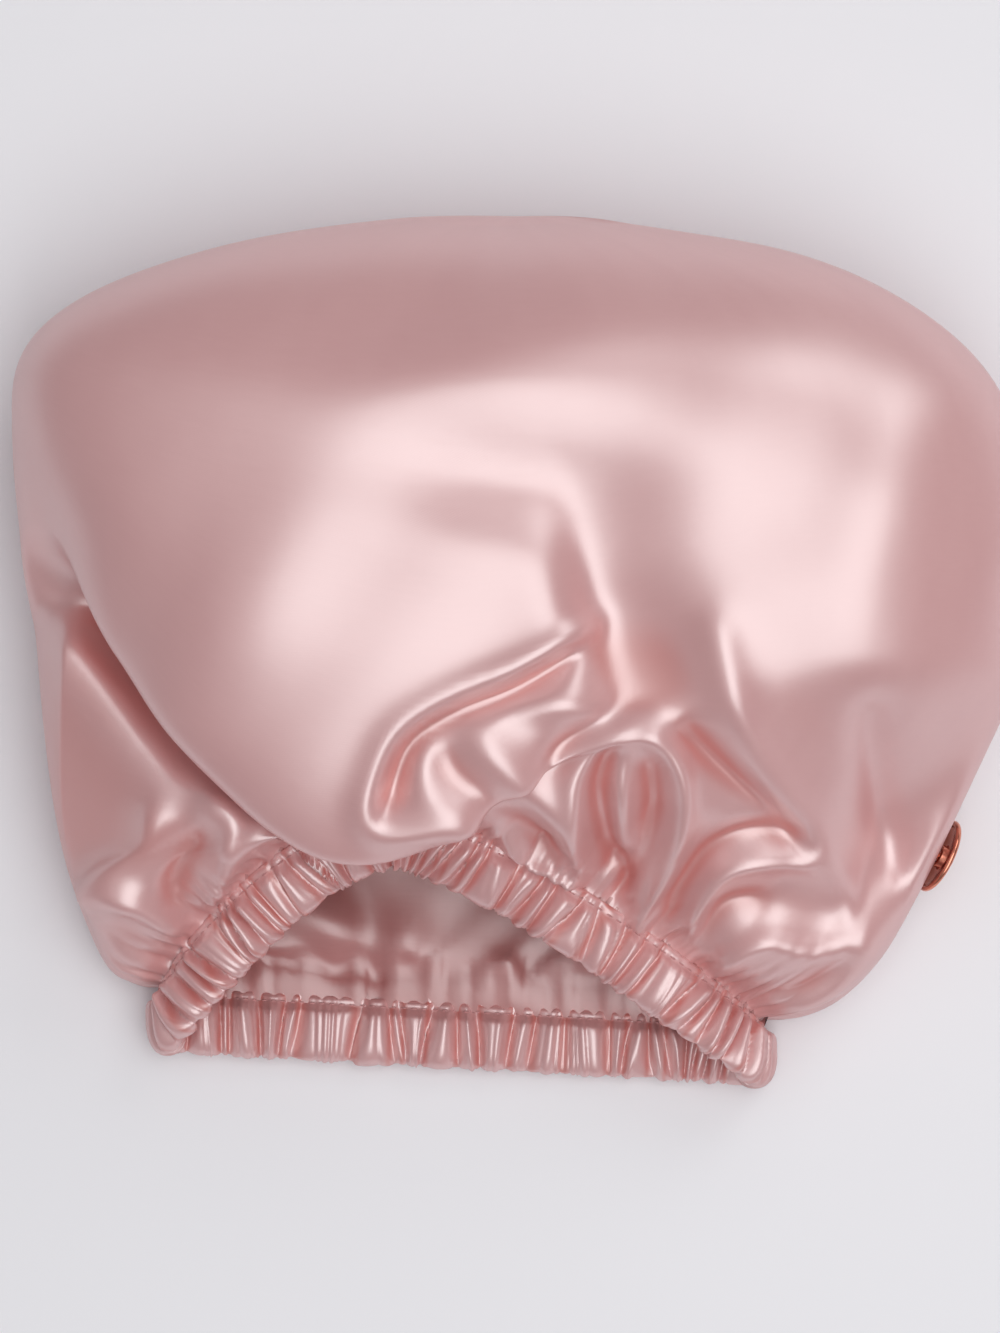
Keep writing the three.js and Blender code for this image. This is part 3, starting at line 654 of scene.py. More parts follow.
def pouch_form(points):
    """Height of the left pouch seen from above, and how near to its crest a point is. The crest is round,
    and from there the cloth falls at a steady slope on each side."""
    line, direction = fold_line(POUCH_CREST, CREST_SAMPLES)
    away = points[:, None, :2] - line
    nearest = (away ** 2).sum(axis=-1).argmin(axis=-1)
    off = away[np.arange(len(points)), nearest]
    ahead = direction[nearest]
    aside = off[:, 0] * ahead[:, 1] - off[:, 1] * ahead[:, 0]
    fall = np.where(aside > 0, OUTER_SLOPE, TUCK_SLOPE) * (np.hypot(aside, CREST_ROUND) - CREST_ROUND)
    height = mix(*CREST_HEIGHTS, nearest / (len(line) - 1)) - fall
    return height, np.exp(-((aside / CREST_ROUND) ** 2))


pouch_long = smoothstep(row_knot, 1.3, 2.0) * (1 - smoothstep(row_knot, 2.7, 3.1))
pouch_wide = smoothstep(shares, 0.27, 0.33) * (1 - smoothstep(shares, 0.50, 0.555))
pouch_share = pouch_long[:, None] * pouch_wide
pouch = pouch_share > 0
pouch_height, near_crest = pouch_form(crown_net[pouch])
crown_net[pouch, 2] = mix(crown_net[pouch, 2], pouch_height, pouch_share[pouch])
# Painted shade: off its crest the pouch's colour is painted darker and warmer.
pouch_shade = np.zeros(pouch.shape)
pouch_shade[pouch] = pouch_share[pouch] * (1 - near_crest)
print("pouch points", int(pouch.sum()), "highest", round(float(pouch_height.max()), 1), "mm")

# %% [markdown]
# ## Folds
# Pleats leave the hem and melt into fewer, larger folds. Single folds, drawn as lines seen from above,
# stand where the real cap has them: the swirl above the peak, the ridges that run to the right lip,
# and the bent folds of the left pouch. Broad swells and dents shape the top, and slow waves make it as
# uneven as slack cloth is. A simulation would lay the folds where it likes. Lines put each of them
# where it belongs, and can be moved one by one.

# %% Single folds
RIGHT_FOLDS = [  # points seen from above in mm; height, which is below 0 for a valley; width
    ([(24, 3), (2, -8), (-21, -18), (-34, -28), (-39, -40), (-42, -51), (-37, -55), (-21, -53), (-6, -53),
      (1, -58), (11, -69), (18, -70)], 6.5, 4.5),
    ([(19, -3), (2, -15), (-16, -22), (-30, -31), (-34, -43), (-37, -49)], -9.0, 5.5),
    ([(26, -21), (8, -18), (-7, -22), (-19, -26), (-27, -33), (-27, -42), (-21, -47), (-11, -48)], 4.5, 4.0),
    ([(-12, -27), (-2, -37), (7, -45), (16, -52), (20, -60)], 6.0, 6.0),
    ([(-20, -33), (-12, -44), (2, -53), (13, -62)], -4.0, 5.0),
    ([(24, -26), (15, -31), (10, -37)], -5.0, 6.0),
    ([(34, -25), (24, -31), (18, -40), (18, -48), (20, -58), (21, -66)], 5.5, 3.5),
    ([(29, -31), (25, -44), (26, -58), (29, -70)], -6.5, 4.5),
    ([(32, -28), (31, -38), (32, -52), (33, -64)], 4.5, 2.5),
    ([(40, -35), (41, -52), (36, -68), (30, -77)], -6.0, 5.0),
    ([(36, -25), (45, -31), (49, -41), (49, -52), (47, -64), (41, -77), (35, -85)], 6.5, 4.0),
    ([(48, -26), (58, -35), (66, -42), (76, -50), (84, -58)], -6.0, 5.0),
    ([(57, 6), (62, -14), (75, -40), (93, -67), (101, -82), (103, -92)], 6.0, 9.0),
    ([(86, -60), (71, -57), (59, -62), (49, -73), (44, -82)], -6.0, 5.0),
    ([(86, -63), (73, -64), (62, -67), (56, -76), (53, -87)], 5.5, 3.5),
    ([(74, -76), (61, -79), (55, -88)], -5.0, 5.0),
    ([(102, -88), (88, -91), (73, -87), (61, -94)], 6.0, 5.0),
    ([(104, -20), (109, -45), (113, -72)], -7.0, 9.0),
]
LEFT_FOLDS = [
    ([(-90, -47), (-80, -53), (-84, -64), (-91, -76)], 6.0, 5.0),
    ([(-92, -57), (-97, -66), (-100, -76)], -5.0, 5.0),
    ([(-103, -48), (-105, -60), (-119, -70), (-123, -76), (-111, -74), (-99, -85)], 7.0, 6.0),
]
TOP_SWELLS = [  # middle seen from above, half length, half widths to both sides, turn in degrees, height
    ((-78, 12), 48, (26, 26), 60, 5.0),
    ((4, 47), 40, (17, 13), -8, -8.0),
    ((27, 5), 30, (9, 23), -76, -12.0),
    ((-8, 76), 40, (14, 14), 8, 3.0),
    ((106, 24), 60, (26, 20), 82, 5.0),
]
print("folds", len(RIGHT_FOLDS) + len(LEFT_FOLDS), "swells", len(TOP_SWELLS))

# %% [markdown]
# Each kind of fold is a height over the cap as seen from above, a sum of simple forms: bells over ovals
# for the swells, plane waves for the unevenness, and brush strokes along lines for the folds.

# %% Heights seen from above
BRUSHES = ((0.35, 0.5), (0.45, 1.0), (0.2, 1.8))  # share of a fold's height, and of its width
BRUSH_REACH = 3.5  # widths; the trace is as good as 0 further away


def swells_from_above(net, swells):
    """Broad bumps and dents: bells over long ovals seen from above. Each side has its own half width."""
    lift = np.zeros(net.shape[:2])
    for middle, half_length, half_widths, turn, height in swells:
        away = net[..., :2] - np.array(middle, float)
        c, s = math.cos(math.radians(turn)), math.sin(math.radians(turn))
        long_way = (away[..., 0] * c + away[..., 1] * s) / half_length
        short_way = away[..., 1] * c - away[..., 0] * s
        short_way = short_way / np.where(short_way < 0, *half_widths)
        lift += height * np.exp(-(long_way ** 2) - short_way ** 2)
    return lift


def slow_waves(net, count, longest, shortest):
    """Unevenness of slack cloth: a sum of seeded plane waves seen from above, about 1 high in all."""
    turn = draw.uniform(0, np.pi, count)
    length = np.geomspace(longest, shortest, count)
    phase = draw.uniform(0, 2 * np.pi, count)
    along = net[..., :1] * np.cos(turn) + net[..., 1:2] * np.sin(turn)
    height = length / length.sum()
    return (height * np.sin(2 * np.pi * along / length + phase)).sum(axis=-1)


def brush(net, line, width):
    """The trace of a soft round brush drawn along a line seen from above. It is 1 on a straight line,
    falls off in a bell shape to both sides, and fades out at both ends."""
    trace = np.zeros(net.shape[:2])
    above_low = net[..., :2] > line.min(axis=0) - BRUSH_REACH * width
    below_high = net[..., :2] < line.max(axis=0) + BRUSH_REACH * width
    near = np.all(above_low & below_high, axis=-1)
    middle = (line[1:] + line[:-1]) / 2
    step = np.linalg.norm(np.diff(line, axis=0), axis=-1)
    square = ((net[near][:, None, :2] - middle) ** 2).sum(axis=-1)
    trace[near] = (np.exp(-square / width ** 2) * step).sum(axis=-1) / (width * math.sqrt(math.pi))
    return trace


def folds_from_above(net, folds):
    """Lift of each point under all fold lines. Each fold is a sum of a narrow, a middling and a wide
    brush, so that its crest is crisp and its feet run out gently."""
    lift = np.zeros(net.shape[:2])
    for points, height, width in folds:
        line = fold_line(points)[0]
        for share, spread in BRUSHES:
            lift += share * height * brush(net, line, spread * width)
    return lift


def net_normals(net):
    """The direction out of the cloth at each point, from its slopes along the lines and round the cap."""
    along = np.gradient(net, axis=0)
    round_slope = np.roll(net, -1, axis=1) - np.roll(net, 1, axis=1)
    return unit(np.cross(along, round_slope))


normals = net_normals(crown_net)
facing_up = smoothstep(normals[..., 2], 0.05, 0.4)
print("share of the cloth that faces up", round(float(facing_up.mean()), 2))

# %% [markdown]
# The gathers start at the hem: pleats, finer ones between them, and the larger folds that they melt
# into. They wander a little to the side on their way, and beside the right corner the cloth is taut.

# %% Gathers
PLEAT_DEPTH, FINE_DEPTH, FOLD_DEPTH = 2.2, 0.9, 5.0
TAUT_SPOT, TAUT_SIZE = (0.992, 0.2), (0.03, 0.1)  # shares of the ring and of the way to the far end
knot = row_knot[:, None]
wander = 0.012 * np.sin(1.3 * knot + 9 * shares) + 0.008 * np.sin(2.1 * knot - 23 * shares)
pleat_fade = 1 - smoothstep(knot, 0.2, 1.6)
fine_fade = 1 - smoothstep(knot, 0.1, 0.9)
fold_fade = smoothstep(knot, 0.05, 0.9) * (1 - smoothstep(knot, 0.8, 2.6))
taut_round = (np.mod(shares - TAUT_SPOT[0] + 0.5, 1) - 0.5)[None, :] / TAUT_SIZE[0]
taut_long = (places[:, None] - TAUT_SPOT[1]) / TAUT_SIZE[1]
slack = smoothstep(np.hypot(taut_round, taut_long), 0.5, 1.6)
pleats = PLEAT_DEPTH * (lobes(shares, pleat_bounds, pleat_heights, 0.7) - 0.6)[None, :] * pleat_fade
fine = FINE_DEPTH * (lobes(shares, fine_bounds, fine_heights, 0.8) - 0.4)[None, :] * fine_fade
broad = FOLD_DEPTH * (lobes(shares + wander, fold_bounds, fold_heights, 0.9) - 0.6) * fold_fade
pouch_round = smoothstep(shares, 0.22, 0.26) * (1 - smoothstep(shares, 0.56, 0.62))
lift = (pleats + fine + broad * mix(1.0, 0.8, facing_up) * (1 - 0.8 * pouch_round)) * slack
print("gathers from", round(float(lift.min()), 1), "to", round(float(lift.max()), 1), "mm")

# %% [markdown]
# The single folds, the swells and the waves are added to the gathers. Seen from above, the flop lies
# over the pouch, so under it only the pouch's own folds count, and on it only the others.

# %% All folds
WAVE_HEIGHT, WAVE_COUNT, LONGEST_WAVE, SHORTEST_WAVE = 2.6, 9, 130.0, 34.0
under_flop = smoothstep(shares, 0.22, 0.26) * (1 - smoothstep(shares, 0.47, 0.52))
left_pouch = under_flop[None, :] * (1 - smoothstep(knot, 2.6, 3.1))
right_part = 1 - under_flop[None, :] * (1 - smoothstep(knot, 3.4, 4.2))
on_top = smoothstep(knot, 3.0, 4.5)
waves = slow_waves(crown_net, WAVE_COUNT, LONGEST_WAVE, SHORTEST_WAVE)
lift = lift + facing_up * right_part * folds_from_above(crown_net, RIGHT_FOLDS)
lift = lift + facing_up * left_pouch * folds_from_above(crown_net, LEFT_FOLDS)
lift = lift + facing_up * on_top * swells_from_above(crown_net, TOP_SWELLS)
lift = lift + WAVE_HEIGHT * smoothstep(knot, 2.0, 4.0) * waves
lift = mix(lift, soften_values(lift, 1.3), smoothstep(knot, 0.5, 1.2))
print("fold lift from", round(float(lift.min()), 1), "to", round(float(lift.max()), 1), "mm")

# %% [markdown]
# Folds get painted shade: below its surroundings, in the tuck under the flop, or off the pouch's crest,
# the cloth is painted darker and warmer, warmed as by light that passes from cloth to cloth. How much
# each point gets is stored with the mesh.

# %% Painted shade in hollows, and the folded crown
TUCK_KNOT, TUCK_SPREAD = 2.9, 0.3
# Painted shade: how far the colour is painted darker and warmer in folds, in the tuck and off the pouch's
# crest.
FOLD_PAINTED_SHADE, TUCK_PAINTED_SHADE, POUCH_PAINTED_SHADE = 0.8, 0.9, 0.7  # how far the colour warms in each hollow
TABLE_GAP = 0.15  # the satin stays this far above the table
sunk = soften_values(lift, 7.0) - lift
in_folds = (1 - smoothstep(crown_net[..., 1], -8, 8)) * (1 - smoothstep(crown_net[..., 0], 88, 102))
# Painted shade in the hollows of folds, in the tuck under the flop, and on the pouch off its crest.
fold_painted_shade = FOLD_PAINTED_SHADE * smoothstep(sunk, 0.3, 3.2) * in_folds
tuck = under_flop[None, :] * np.exp(-(((knot - TUCK_KNOT) / TUCK_SPREAD) ** 2))
crown_painted_shade = np.maximum(fold_painted_shade, np.maximum(TUCK_PAINTED_SHADE * tuck, POUCH_PAINTED_SHADE * pouch_shade))
crown_points = crown_net + normals * lift[..., None]
crown_points[..., 2] = np.maximum(crown_points[..., 2], TABLE_GAP)
print("crown top", round(float(crown_points[..., 2].max()), 1), "mm")

# %% [markdown]
# ## From points to pieces
# A net of points becomes a mesh of quads. Blender takes all points and faces in one call, so the
# indices are worked out as whole arrays, without a loop. The map called cloth holds millimetres of
# cloth, so that the weave keeps its size.

# %% Net to mesh
def net_piece(name, net, finish, map_size, close_lines=False, tip=None, flip=False, painted_fold_shade=None):
    """A piece from rows of points that close round the cap. close_lines joins the last row to the first,
    tip closes the last row on one point, flip turns the faces over, and the last argument says how
    much painted shade each point gets in the hollow of a fold, from 0 to 1."""
    rows, columns = net.shape[:2]
    spans = rows if close_lines else rows - 1
    j, i = np.meshgrid(np.arange(spans), np.arange(columns), indexing="ij")
    right, below = (i + 1) % columns, (j + 1) % rows
    row, next_row = j * columns, below * columns
    quads = np.stack([row + i, next_row + i, next_row + right, row + right], -1)
    across = np.stack([i, i, i + 1, i + 1], -1) / columns * map_size[0]
    down = np.stack([j, j + 1, j + 1, j], -1) / spans * map_size[1]
    quads, across, down = (a.reshape(-1, 4) for a in (quads, across, down))
    if flip:
        quads, across, down = quads[:, ::-1], across[:, ::-1], down[:, ::-1]
    points = net.reshape(-1, 3)
    faces = quads.tolist()
    corner_map = np.stack([across, down], -1).reshape(-1, 2)
    if tip is not None:
        points = np.concatenate([points, tip[None]])
        ring = np.arange(columns)
        last = (rows - 1) * columns
        fan = np.stack([last + ring, np.full(columns, len(points) - 1), last + (ring + 1) % columns], -1)
        fan_across = np.stack([ring, ring + 0.5, ring + 1], -1) / columns * map_size[0]
        fan_map = np.stack([fan_across, np.full((columns, 3), map_size[1])], -1)
        if flip:
            fan, fan_map = fan[:, ::-1], fan_map[:, ::-1]
        faces += fan.tolist()
        corner_map = np.concatenate([corner_map, fan_map.reshape(-1, 2)])
    mesh = bpy.data.meshes.new(name)
    mesh.from_pydata((points * MM).tolist(), [], faces)
    layer = mesh.uv_layers.new(name="cloth")
    layer.data.foreach_set("uv", corner_map.astype(np.float32).ravel())
    # Painted shade for the hollows of folds is stored with the mesh, one value for each point.
    if painted_fold_shade is not None:
        depth = np.zeros(len(points), np.float32)
        depth[:painted_fold_shade.size] = painted_fold_shade.ravel()
        mesh.attributes.new("painted_fold_shade", "FLOAT", "POINT").data.foreach_set("value", depth)
    mesh.shade_smooth()
    mesh.materials.append(finish)
    piece = bpy.data.objects.new(name, mesh)
    scene.collection.objects.link(piece)
    print(name, len(mesh.vertices), "points", len(mesh.polygons), "faces")
    return piece


# %% [markdown]
# ## Crown
# The satin is the outer layer. It starts inside the sleeve, so that no edge shows at the seam, and
# closes at the far end. One sheet of faces is enough, since the lining hides its inner side.

# %% Crown satin
CLOTH_ROUND, CLOTH_DEEP = 1500.0, 340.0  # millimetres on the map: round the cap and along a line
EDGE_GATHER = 1.2  # the cut edge zigzags in the sleeve, since all of its length is drawn in there
EDGE_INSIDE = np.full(COLUMNS, HEM_HALF - 2.5)  # where the cut edges lie in the sleeve
zigzag = EDGE_GATHER * np.where(np.arange(COLUMNS) % 2, 1.0, -1.0)
inside_hem = hem_offset(angles, EDGE_INSIDE, zigzag)[None]
crown_net_full = np.concatenate([inside_hem, crown_points])
crown_tip = crown_points[-1].mean(axis=0)
# Painted shade of the first row, repeated for the edge inside the sleeve.
full_painted_shade = np.concatenate([crown_painted_shade[:1], crown_painted_shade])
crown = net_piece(
    "crown_satin_cloth", crown_net_full, satin, (CLOTH_ROUND, CLOTH_DEEP), tip=crown_tip, painted_fold_shade=full_painted_shade,
)

# %% [markdown]
# ## Lining
# The lining follows the satin on its inner side and bags a little further in. What shows of it lies
# behind the lower lip: soft folds that fan out from the pleats. It could be modelled by itself. As the
# satin's net, pushed inwards by softened lobes, it stays inside the satin.

# %% Lining
LINING_DEPTH, LINING_BAG, LINING_PUFF, LINING_FINE = 1.4, 13.0, 1.0, 2.0
LINING_SOFT = 3.0
LINING_GAP = 1.2  # the lining stays this far above the table
PUFF_COUNT, WRINKLE_COUNT = 28, 48
lining_bounds = uneven_bounds(PUFF_COUNT, 0.3)
lining_heights = draw.uniform(0.5, 1.1, PUFF_COUNT)
puff_reach = draw.uniform(0.25, 1.3, PUFF_COUNT)
wrinkle_bounds = uneven_bounds(WRINKLE_COUNT, 0.4)
wrinkle_heights = draw.uniform(0.2, 1.0, WRINKLE_COUNT)
puff_middle = (lining_bounds[1:] + lining_bounds[:-1]) / 2
lower_half = 1 - smoothstep(np.sin(angles), -0.05, 0.25)[None, :]
reach = np.interp(shares, puff_middle, puff_reach, period=1)[None, :]
bag_fade = smoothstep(knot / reach, 0.0, 1.0) * (1 - smoothstep(knot - reach, 0.3, 2.6))
puff = lobes(shares + 2.5 * wander, lining_bounds, lining_heights, 0.8)
wrinkle = lobes(shares - 1.5 * wander, wrinkle_bounds, wrinkle_heights, 0.8)
puff = puff * (0.9 + 0.25 * np.sin(4.5 * knot + 40 * shares))
bag = soften_values((LINING_PUFF + LINING_BAG * puff + LINING_FINE * wrinkle) * bag_fade, LINING_SOFT)
# Painted shade in the valleys between the lining's puffs, near the hem.
lining_painted_shade = smoothstep(0.4 - puff, 0.0, 0.4) * (1 - smoothstep(knot, 2.0, 4.0))
lining_painted_shade = soften_values(lining_painted_shade, LINING_SOFT)
inwards = LINING_DEPTH + bag * mix(0.25, 1.0, lower_half)
lining_points = crown_points - normals * inwards[..., None]
lining_points[..., 2] = np.maximum(lining_points[..., 2], LINING_GAP)
lining_zigzag = EDGE_GATHER * np.where(np.arange(COLUMNS) % 4 < 2, 1.0, -1.0) - 0.5
inside_seam = hem_offset(angles, EDGE_INSIDE, lining_zigzag)[None]
STEP = 2  # the lining is mostly out of sight, so it keeps every second row and column
lining_net = np.concatenate([inside_seam, lining_points])[::STEP, ::STEP]
lining = net_piece(
    "crown_lining_cloth", lining_net, lining_cloth, (CLOTH_ROUND, CLOTH_DEEP),
    tip=lining_net[-1].mean(axis=0), flip=True,
    painted_fold_shade=np.concatenate([lining_painted_shade[:1], lining_painted_shade])[::STEP, ::STEP],
)

# %% [markdown]
# ## Hem sleeve
# The sleeve is a flat tube carried round the hem's line. Its pleats swell its faces and scallop its
# free edge, and the row of stitches pinches it where the crown comes out. A bump in the material would
# be cheaper, but pleats this deep show in the outline, so they are in the mesh.

# %% Hem sleeve
SLEEVE_COLUMNS, SLEEVE_SIDES = 1120, 44
SLEEVE_VALLEY, SLEEVE_LOBE, SLEEVE_FINE = 1.0, 5.4, 1.1
SLEEVE_FLAT, SLEEVE_FACE = 0.75, 0.9  # powers of its section: below 1 is squarer than an oval
EDGE_SCALLOP = 1.6
FREE_EDGE = 11.4  # from the middle to the free edge, past the solid, which the pleats hide
SLEEVE_GAP = 0.1  # the sleeve stays this far above the table
STITCH_PLACE = 6.4  # where the stitches pinch the sleeve, from its middle towards the crown
STITCH_PINCH, PINCH_WIDTH, NECK_PINCH = 0.5, 1.3, 0.35
slant_knots = draw.uniform(-0.008, 0.008, GATHER_COUNT)


def sleeve_point(share, turn):
    """The sleeve's surface: a flat superellipse whose faces and free edge swell with the pleats."""
    c, s = np.cos(turn), np.sin(turn)
    flat_c = signed_power(c, SLEEVE_FLAT)
    flat_s = signed_power(s, SLEEVE_FACE)
    slant = np.interp(np.mod(share, 1), np.linspace(0, 1, GATHER_COUNT), slant_knots)
    leaning = share + slant * flat_c
    pleat = lobes(leaning, pleat_bounds, pleat_heights, 0.8)
    small = lobes(leaning - 0.4 * slant, fine_bounds, fine_heights, 0.8)
    scallop = EDGE_SCALLOP * (0.7 * pleat + 0.5 * small - 1)
    half_width = np.where(c < 0, FREE_EDGE + scallop, HEM_HALF)
    w = half_width * flat_c
    drawn_in = STITCH_PINCH * np.exp(-(((w - STITCH_PLACE) / PINCH_WIDTH) ** 2))
    pinch = 1 - drawn_in - NECK_PINCH * smoothstep(w, STITCH_PLACE, HEM_HALF)
    thickness = (SLEEVE_VALLEY + SLEEVE_LOBE * pleat + SLEEVE_FINE * (small - 0.4)) * pinch
    point = hem_offset(ring_angle(share), w, thickness * flat_s)
    point[..., 2] = np.maximum(point[..., 2], SLEEVE_GAP)
    return point


def tube_grid(columns, sides):
    """Shares of the ring and turns round a tube, for a net of points that closes both ways."""
    return np.meshgrid(np.arange(columns) / columns, np.arange(sides) / sides * 2 * np.pi)


sleeve_share, sleeve_turn = tube_grid(SLEEVE_COLUMNS, SLEEVE_SIDES)
sleeve_net = sleeve_point(sleeve_share, sleeve_turn)
# Painted shade in the valleys between the sleeve's pleats.
sleeve_painted_shade = smoothstep(0.6 - lobes(sleeve_share, pleat_bounds, pleat_heights, 0.8), 0.0, 0.5)
sleeve = net_piece(
    "hem_sleeve", sleeve_net, satin, (CLOTH_ROUND, 4 * HEM_HALF), close_lines=True, painted_fold_shade=sleeve_painted_shade,
)

# %% [markdown]
# ## Elastic
# One closed loop of woven elastic lies in the sleeve. It hardly shows, so its ribs are a wave on a flat
# tube, not single threads.

# %% Elastic
ELASTIC_HALF, ELASTIC_THICK, ELASTIC_MIDDLE = 5.5, 0.55, -1.35
ELASTIC_RIBS, RIB_HEIGHT = 5, 0.12
ELASTIC_COLUMNS, ELASTIC_SIDES = 560, 40
ELASTIC_MAP = (420.0, 24.0)  # its length and its girth in millimetres
elastic_share, elastic_turn = tube_grid(ELASTIC_COLUMNS, ELASTIC_SIDES)
elastic_w = ELASTIC_HALF * signed_power(np.cos(elastic_turn), 0.6)
elastic_rib = 1 + RIB_HEIGHT * np.cos(ELASTIC_RIBS * np.pi * elastic_w / ELASTIC_HALF)
elastic_n = ELASTIC_THICK * elastic_rib * signed_power(np.sin(elastic_turn), 0.4)
elastic_net = hem_offset(ring_angle(elastic_share), ELASTIC_MIDDLE + elastic_w, elastic_n)
elastic = net_piece("elastic_loop", elastic_net, elastic_cloth, ELASTIC_MAP, close_lines=True)

# %% [markdown]
# ## Stitches
# A row of short stitches holds the crown in the sleeve. Each is a little bent tube that dips into the
# cloth at both ends. They are all one mesh, not copies of one stitch.

# %% Stitches
STITCH_COUNT = 150
STITCH_RADIUS = 0.28
STITCH_SHARE = 0.62  # of the pitch between two stitches
STITCH_TAPER = np.array([0.5, 1, 1, 1, 0.5])  # shares of the radius, from one end to the other
STITCH_SIDES = 6
stitch_turn = math.acos((STITCH_PLACE / HEM_HALF) ** (1 / SLEEVE_FLAT))


def stitch_row(face):
    """All stitches on one face of the sleeve, as rings of points round their paths."""
    rings = len(STITCH_TAPER)
    start = (np.arange(STITCH_COUNT) + 0.5) / STITCH_COUNT
    step = np.linspace(-0.5, 0.5, rings) * STITCH_SHARE / STITCH_COUNT
    share = start[:, None] + step[None, :]
    path = sleeve_point(share, np.full_like(share, face * stitch_turn))
    _, out, back = hem_axes(ring_angle(share))
    hump = STITCH_RADIUS * (1.2 * np.cos(np.linspace(-1, 1, rings) * np.pi / 2) - 0.5)
    path = path + face * out * hump[None, :, None]
    round_turn = (np.arange(STITCH_SIDES) / STITCH_SIDES * 2 * np.pi)[:, None]
    radius = STITCH_RADIUS * STITCH_TAPER[None, :, None, None]
    ring = np.cos(round_turn) * back[:, :, None, :] + np.sin(round_turn) * out[:, :, None, :]
    return path[:, :, None, :] + radius * ring


stitch_rings = np.concatenate([stitch_row(1), stitch_row(-1)])
print("rings of points", stitch_rings.shape)

# %% Stitch mesh
count, rings, sides = stitch_rings.shape[:3]
base = (np.arange(count) * rings * sides)[:, None, None]
ring_index = (np.arange(rings - 1) * sides)[None, :, None]
side = np.arange(sides)[None, None, :]
next_side = (side + 1) % sides
walls = np.stack([
    base + ring_index + side, base + ring_index + next_side,
    base + ring_index + sides + next_side, base + ring_index + sides + side,
], -1).reshape(-1, 4)
first_cap = (base[:, 0] + np.arange(sides)[::-1]).reshape(count, sides)
last_cap = (base[:, 0] + (rings - 1) * sides + np.arange(sides)).reshape(count, sides)
stitch_mesh = bpy.data.meshes.new("hem_stitches")
stitch_mesh.from_pydata(
    (stitch_rings.reshape(-1, 3) * MM).tolist(), [],
    walls.tolist() + first_cap.tolist() + last_cap.tolist(),
)
stitch_mesh.uv_layers.new(name="cloth")
stitch_mesh.shade_smooth()
stitch_mesh.materials.append(thread_cloth)
stitches = bpy.data.objects.new("hem_stitches", stitch_mesh)
scene.collection.objects.link(stitches)
print("stitches", count)

# %% [markdown]
# ## Badge
# A domed disc of rose gold with a rolled rim turns on a small tack. Metal this smooth shows the room,
# so its finish is little more than a tint, a cloud of duller places and fine scratches. A Screw
# modifier could turn the profile. Rings of points round the joint's axis do it in one step.

# %% Rose gold
gold, gold_tree, gold_shader = new_finish("rose_gold", {"Metallic": 1.0})
gold_place = shader_node(gold_tree, "ShaderNodeTexCoord", output=3)
gold_cloud = noise(gold_tree, gold_place, 220.0, 4.0)
gold_scratch = noise(gold_tree, gold_place, 2400.0)
gold_colour = colour_between(gold_tree, gold_cloud, srgb(214, 128, 104), srgb(232, 156, 132))
gold_bump = bump(gold_tree, gold_scratch, 0.05, 0.0001)
feed(gold_tree, gold_shader, Base_Color=gold_colour, Roughness=gold_cloud * 0.1 + 0.12, Normal=gold_bump)
print("finish", gold.name)

# %% Badge disc
swivel = next(joint for joint in frame["record"]["behaviour"]["joints"] if joint["name"] == "badge_swivel")
badge_place = np.array(swivel["pos_m"]) / MM
badge_axis = unit(np.array(swivel["axis"], float))
BADGE_RADIUS, BADGE_DISH, BADGE_METAL, BADGE_RIM, BADGE_STANDOFF = 11.5, 2.6, 0.8, 0.9, 5.0
HUB_RADIUS, HUB_DEPTH, BORE_RADIUS, HUB_EDGE = 3.5, 2.6, 1.3, 0.3
NEAR_AXIS = 0.01  # a profile starts and ends this close to the axis
BADGE_SIDES = 96
BADGE_MAP = (72.0, 60.0)  # millimetres round the rim and along the profile


def dome(radius):
    """Height of the disc's face above the satin: a shallow bowl turned over."""
    return BADGE_STANDOFF + BADGE_RIM + BADGE_DISH * (1 - (radius / BADGE_RADIUS) ** 2)


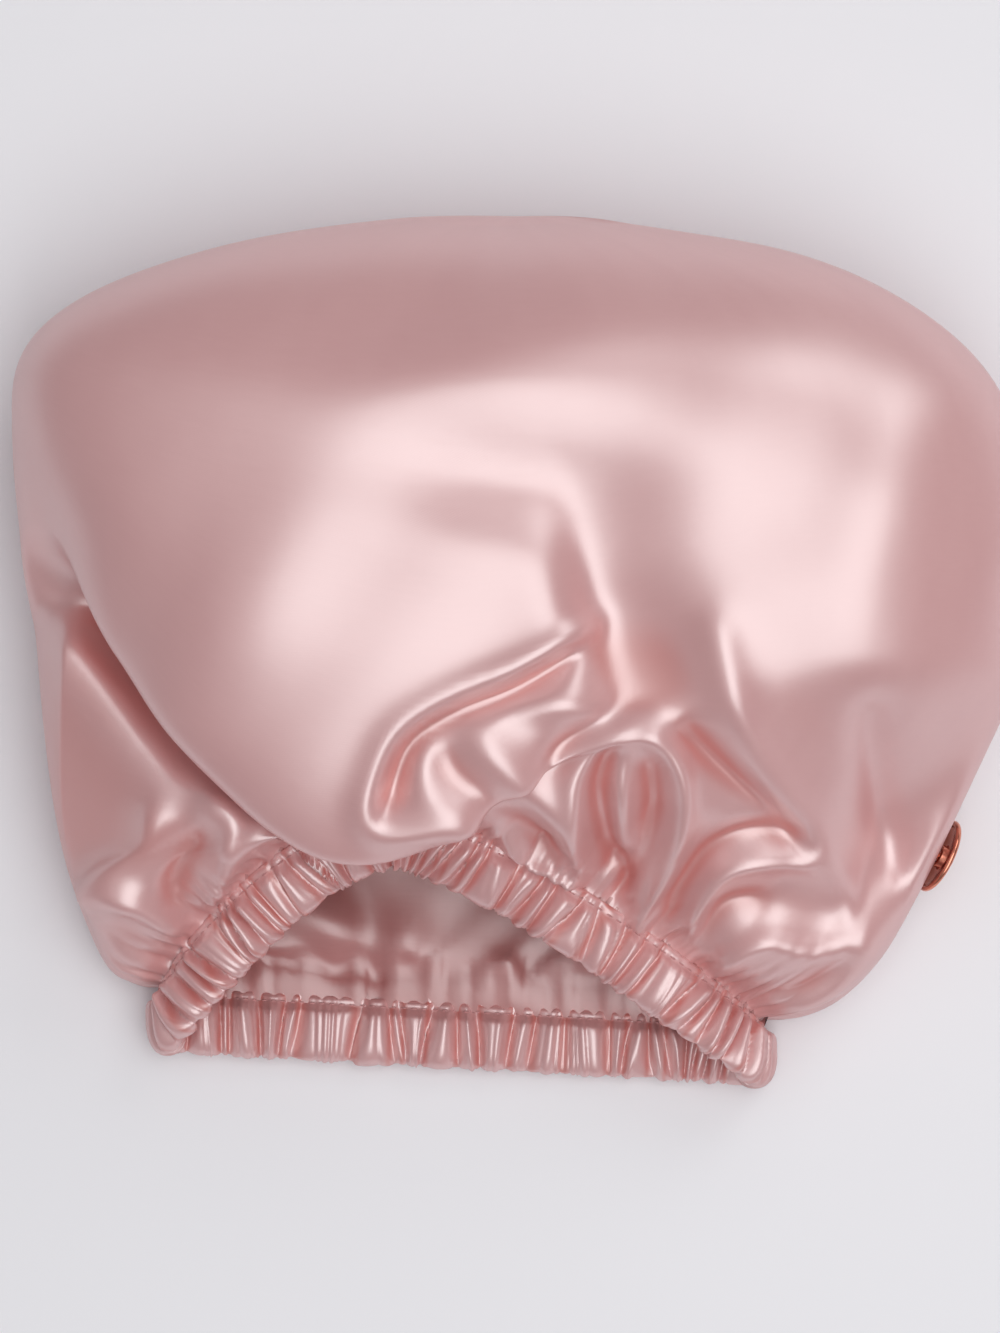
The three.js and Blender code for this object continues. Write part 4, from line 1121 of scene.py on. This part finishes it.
def turned_piece(name, profile, finish):
    """A piece turned on the badge's axis from pairs of radius and height above the satin."""
    radius, height = np.array(profile).T
    side_axis = unit(np.cross(badge_axis, [0.0, 0.0, 1.0]))
    up_axis = np.cross(badge_axis, side_axis)
    turn = (np.arange(BADGE_SIDES) / BADGE_SIDES * 2 * np.pi)[:, None]
    ring = np.cos(turn) * side_axis + np.sin(turn) * up_axis
    net = badge_place + radius[:, None, None] * ring + height[:, None, None] * badge_axis
    return net_piece(name, net, finish, BADGE_MAP, close_lines=True)


rim_turn = np.linspace(-np.pi, np.pi / 2, 14)
rim = np.stack([
    BADGE_RADIUS - BADGE_RIM + BADGE_RIM * np.cos(rim_turn),
    BADGE_STANDOFF + BADGE_RIM + BADGE_RIM * np.sin(rim_turn),
], -1)
face_radii = np.linspace(BADGE_RADIUS - 2 * BADGE_RIM, NEAR_AXIS, 14)
back_radii = np.linspace(HUB_RADIUS + 0.5, BADGE_RADIUS - 2 * BADGE_RIM, 10)
hub_top = dome(0.0) - BADGE_METAL
hub_foot = hub_top - HUB_DEPTH
hub_profile = [
    (NEAR_AXIS, hub_top - HUB_EDGE),
    (BORE_RADIUS, hub_top - HUB_EDGE),
    (BORE_RADIUS, hub_foot),
    (HUB_RADIUS - HUB_EDGE, hub_foot),
    (HUB_RADIUS, hub_foot + HUB_EDGE),
    (HUB_RADIUS, dome(HUB_RADIUS) - BADGE_METAL - 0.4),
]
disc_profile = np.concatenate([
    hub_profile,
    np.stack([back_radii, dome(back_radii) - BADGE_METAL], -1),
    rim,
    np.stack([face_radii, dome(face_radii)], -1),
])
disc = turned_piece("badge_disc_bright", disc_profile, gold)
for node in ("badge_collar", "badge_tack"):
    frame["nodes"][node].data.materials.clear()
    frame["nodes"][node].data.materials.append(gold)

# %% [markdown]
# ## What moves with what
# The lower lip can be pulled away from the upper one. Here the imported solids, for which the cloth,
# the sleeve, the elastic and the stitches stand in, are hidden, and each piece's place is baked into
# its points. The disc is attached to the badge's body and turns on its tack.

# %% Hide the solids, attach the disc
for piece, slot_name, nodes in (
    (crown, "satin", ["crown_satin"]),
    (lining, "lining", ["crown_lining"]),
    (sleeve, "satin", ["casing_upper", "casing_lower"]),
    (elastic, "elastic", ["elastic_band"]),
    (stitches, "thread", ["stitching_upper", "stitching_lower"]),
):
    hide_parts(*nodes)
    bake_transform(piece)
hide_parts("badge_disc")
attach(disc, "badge")
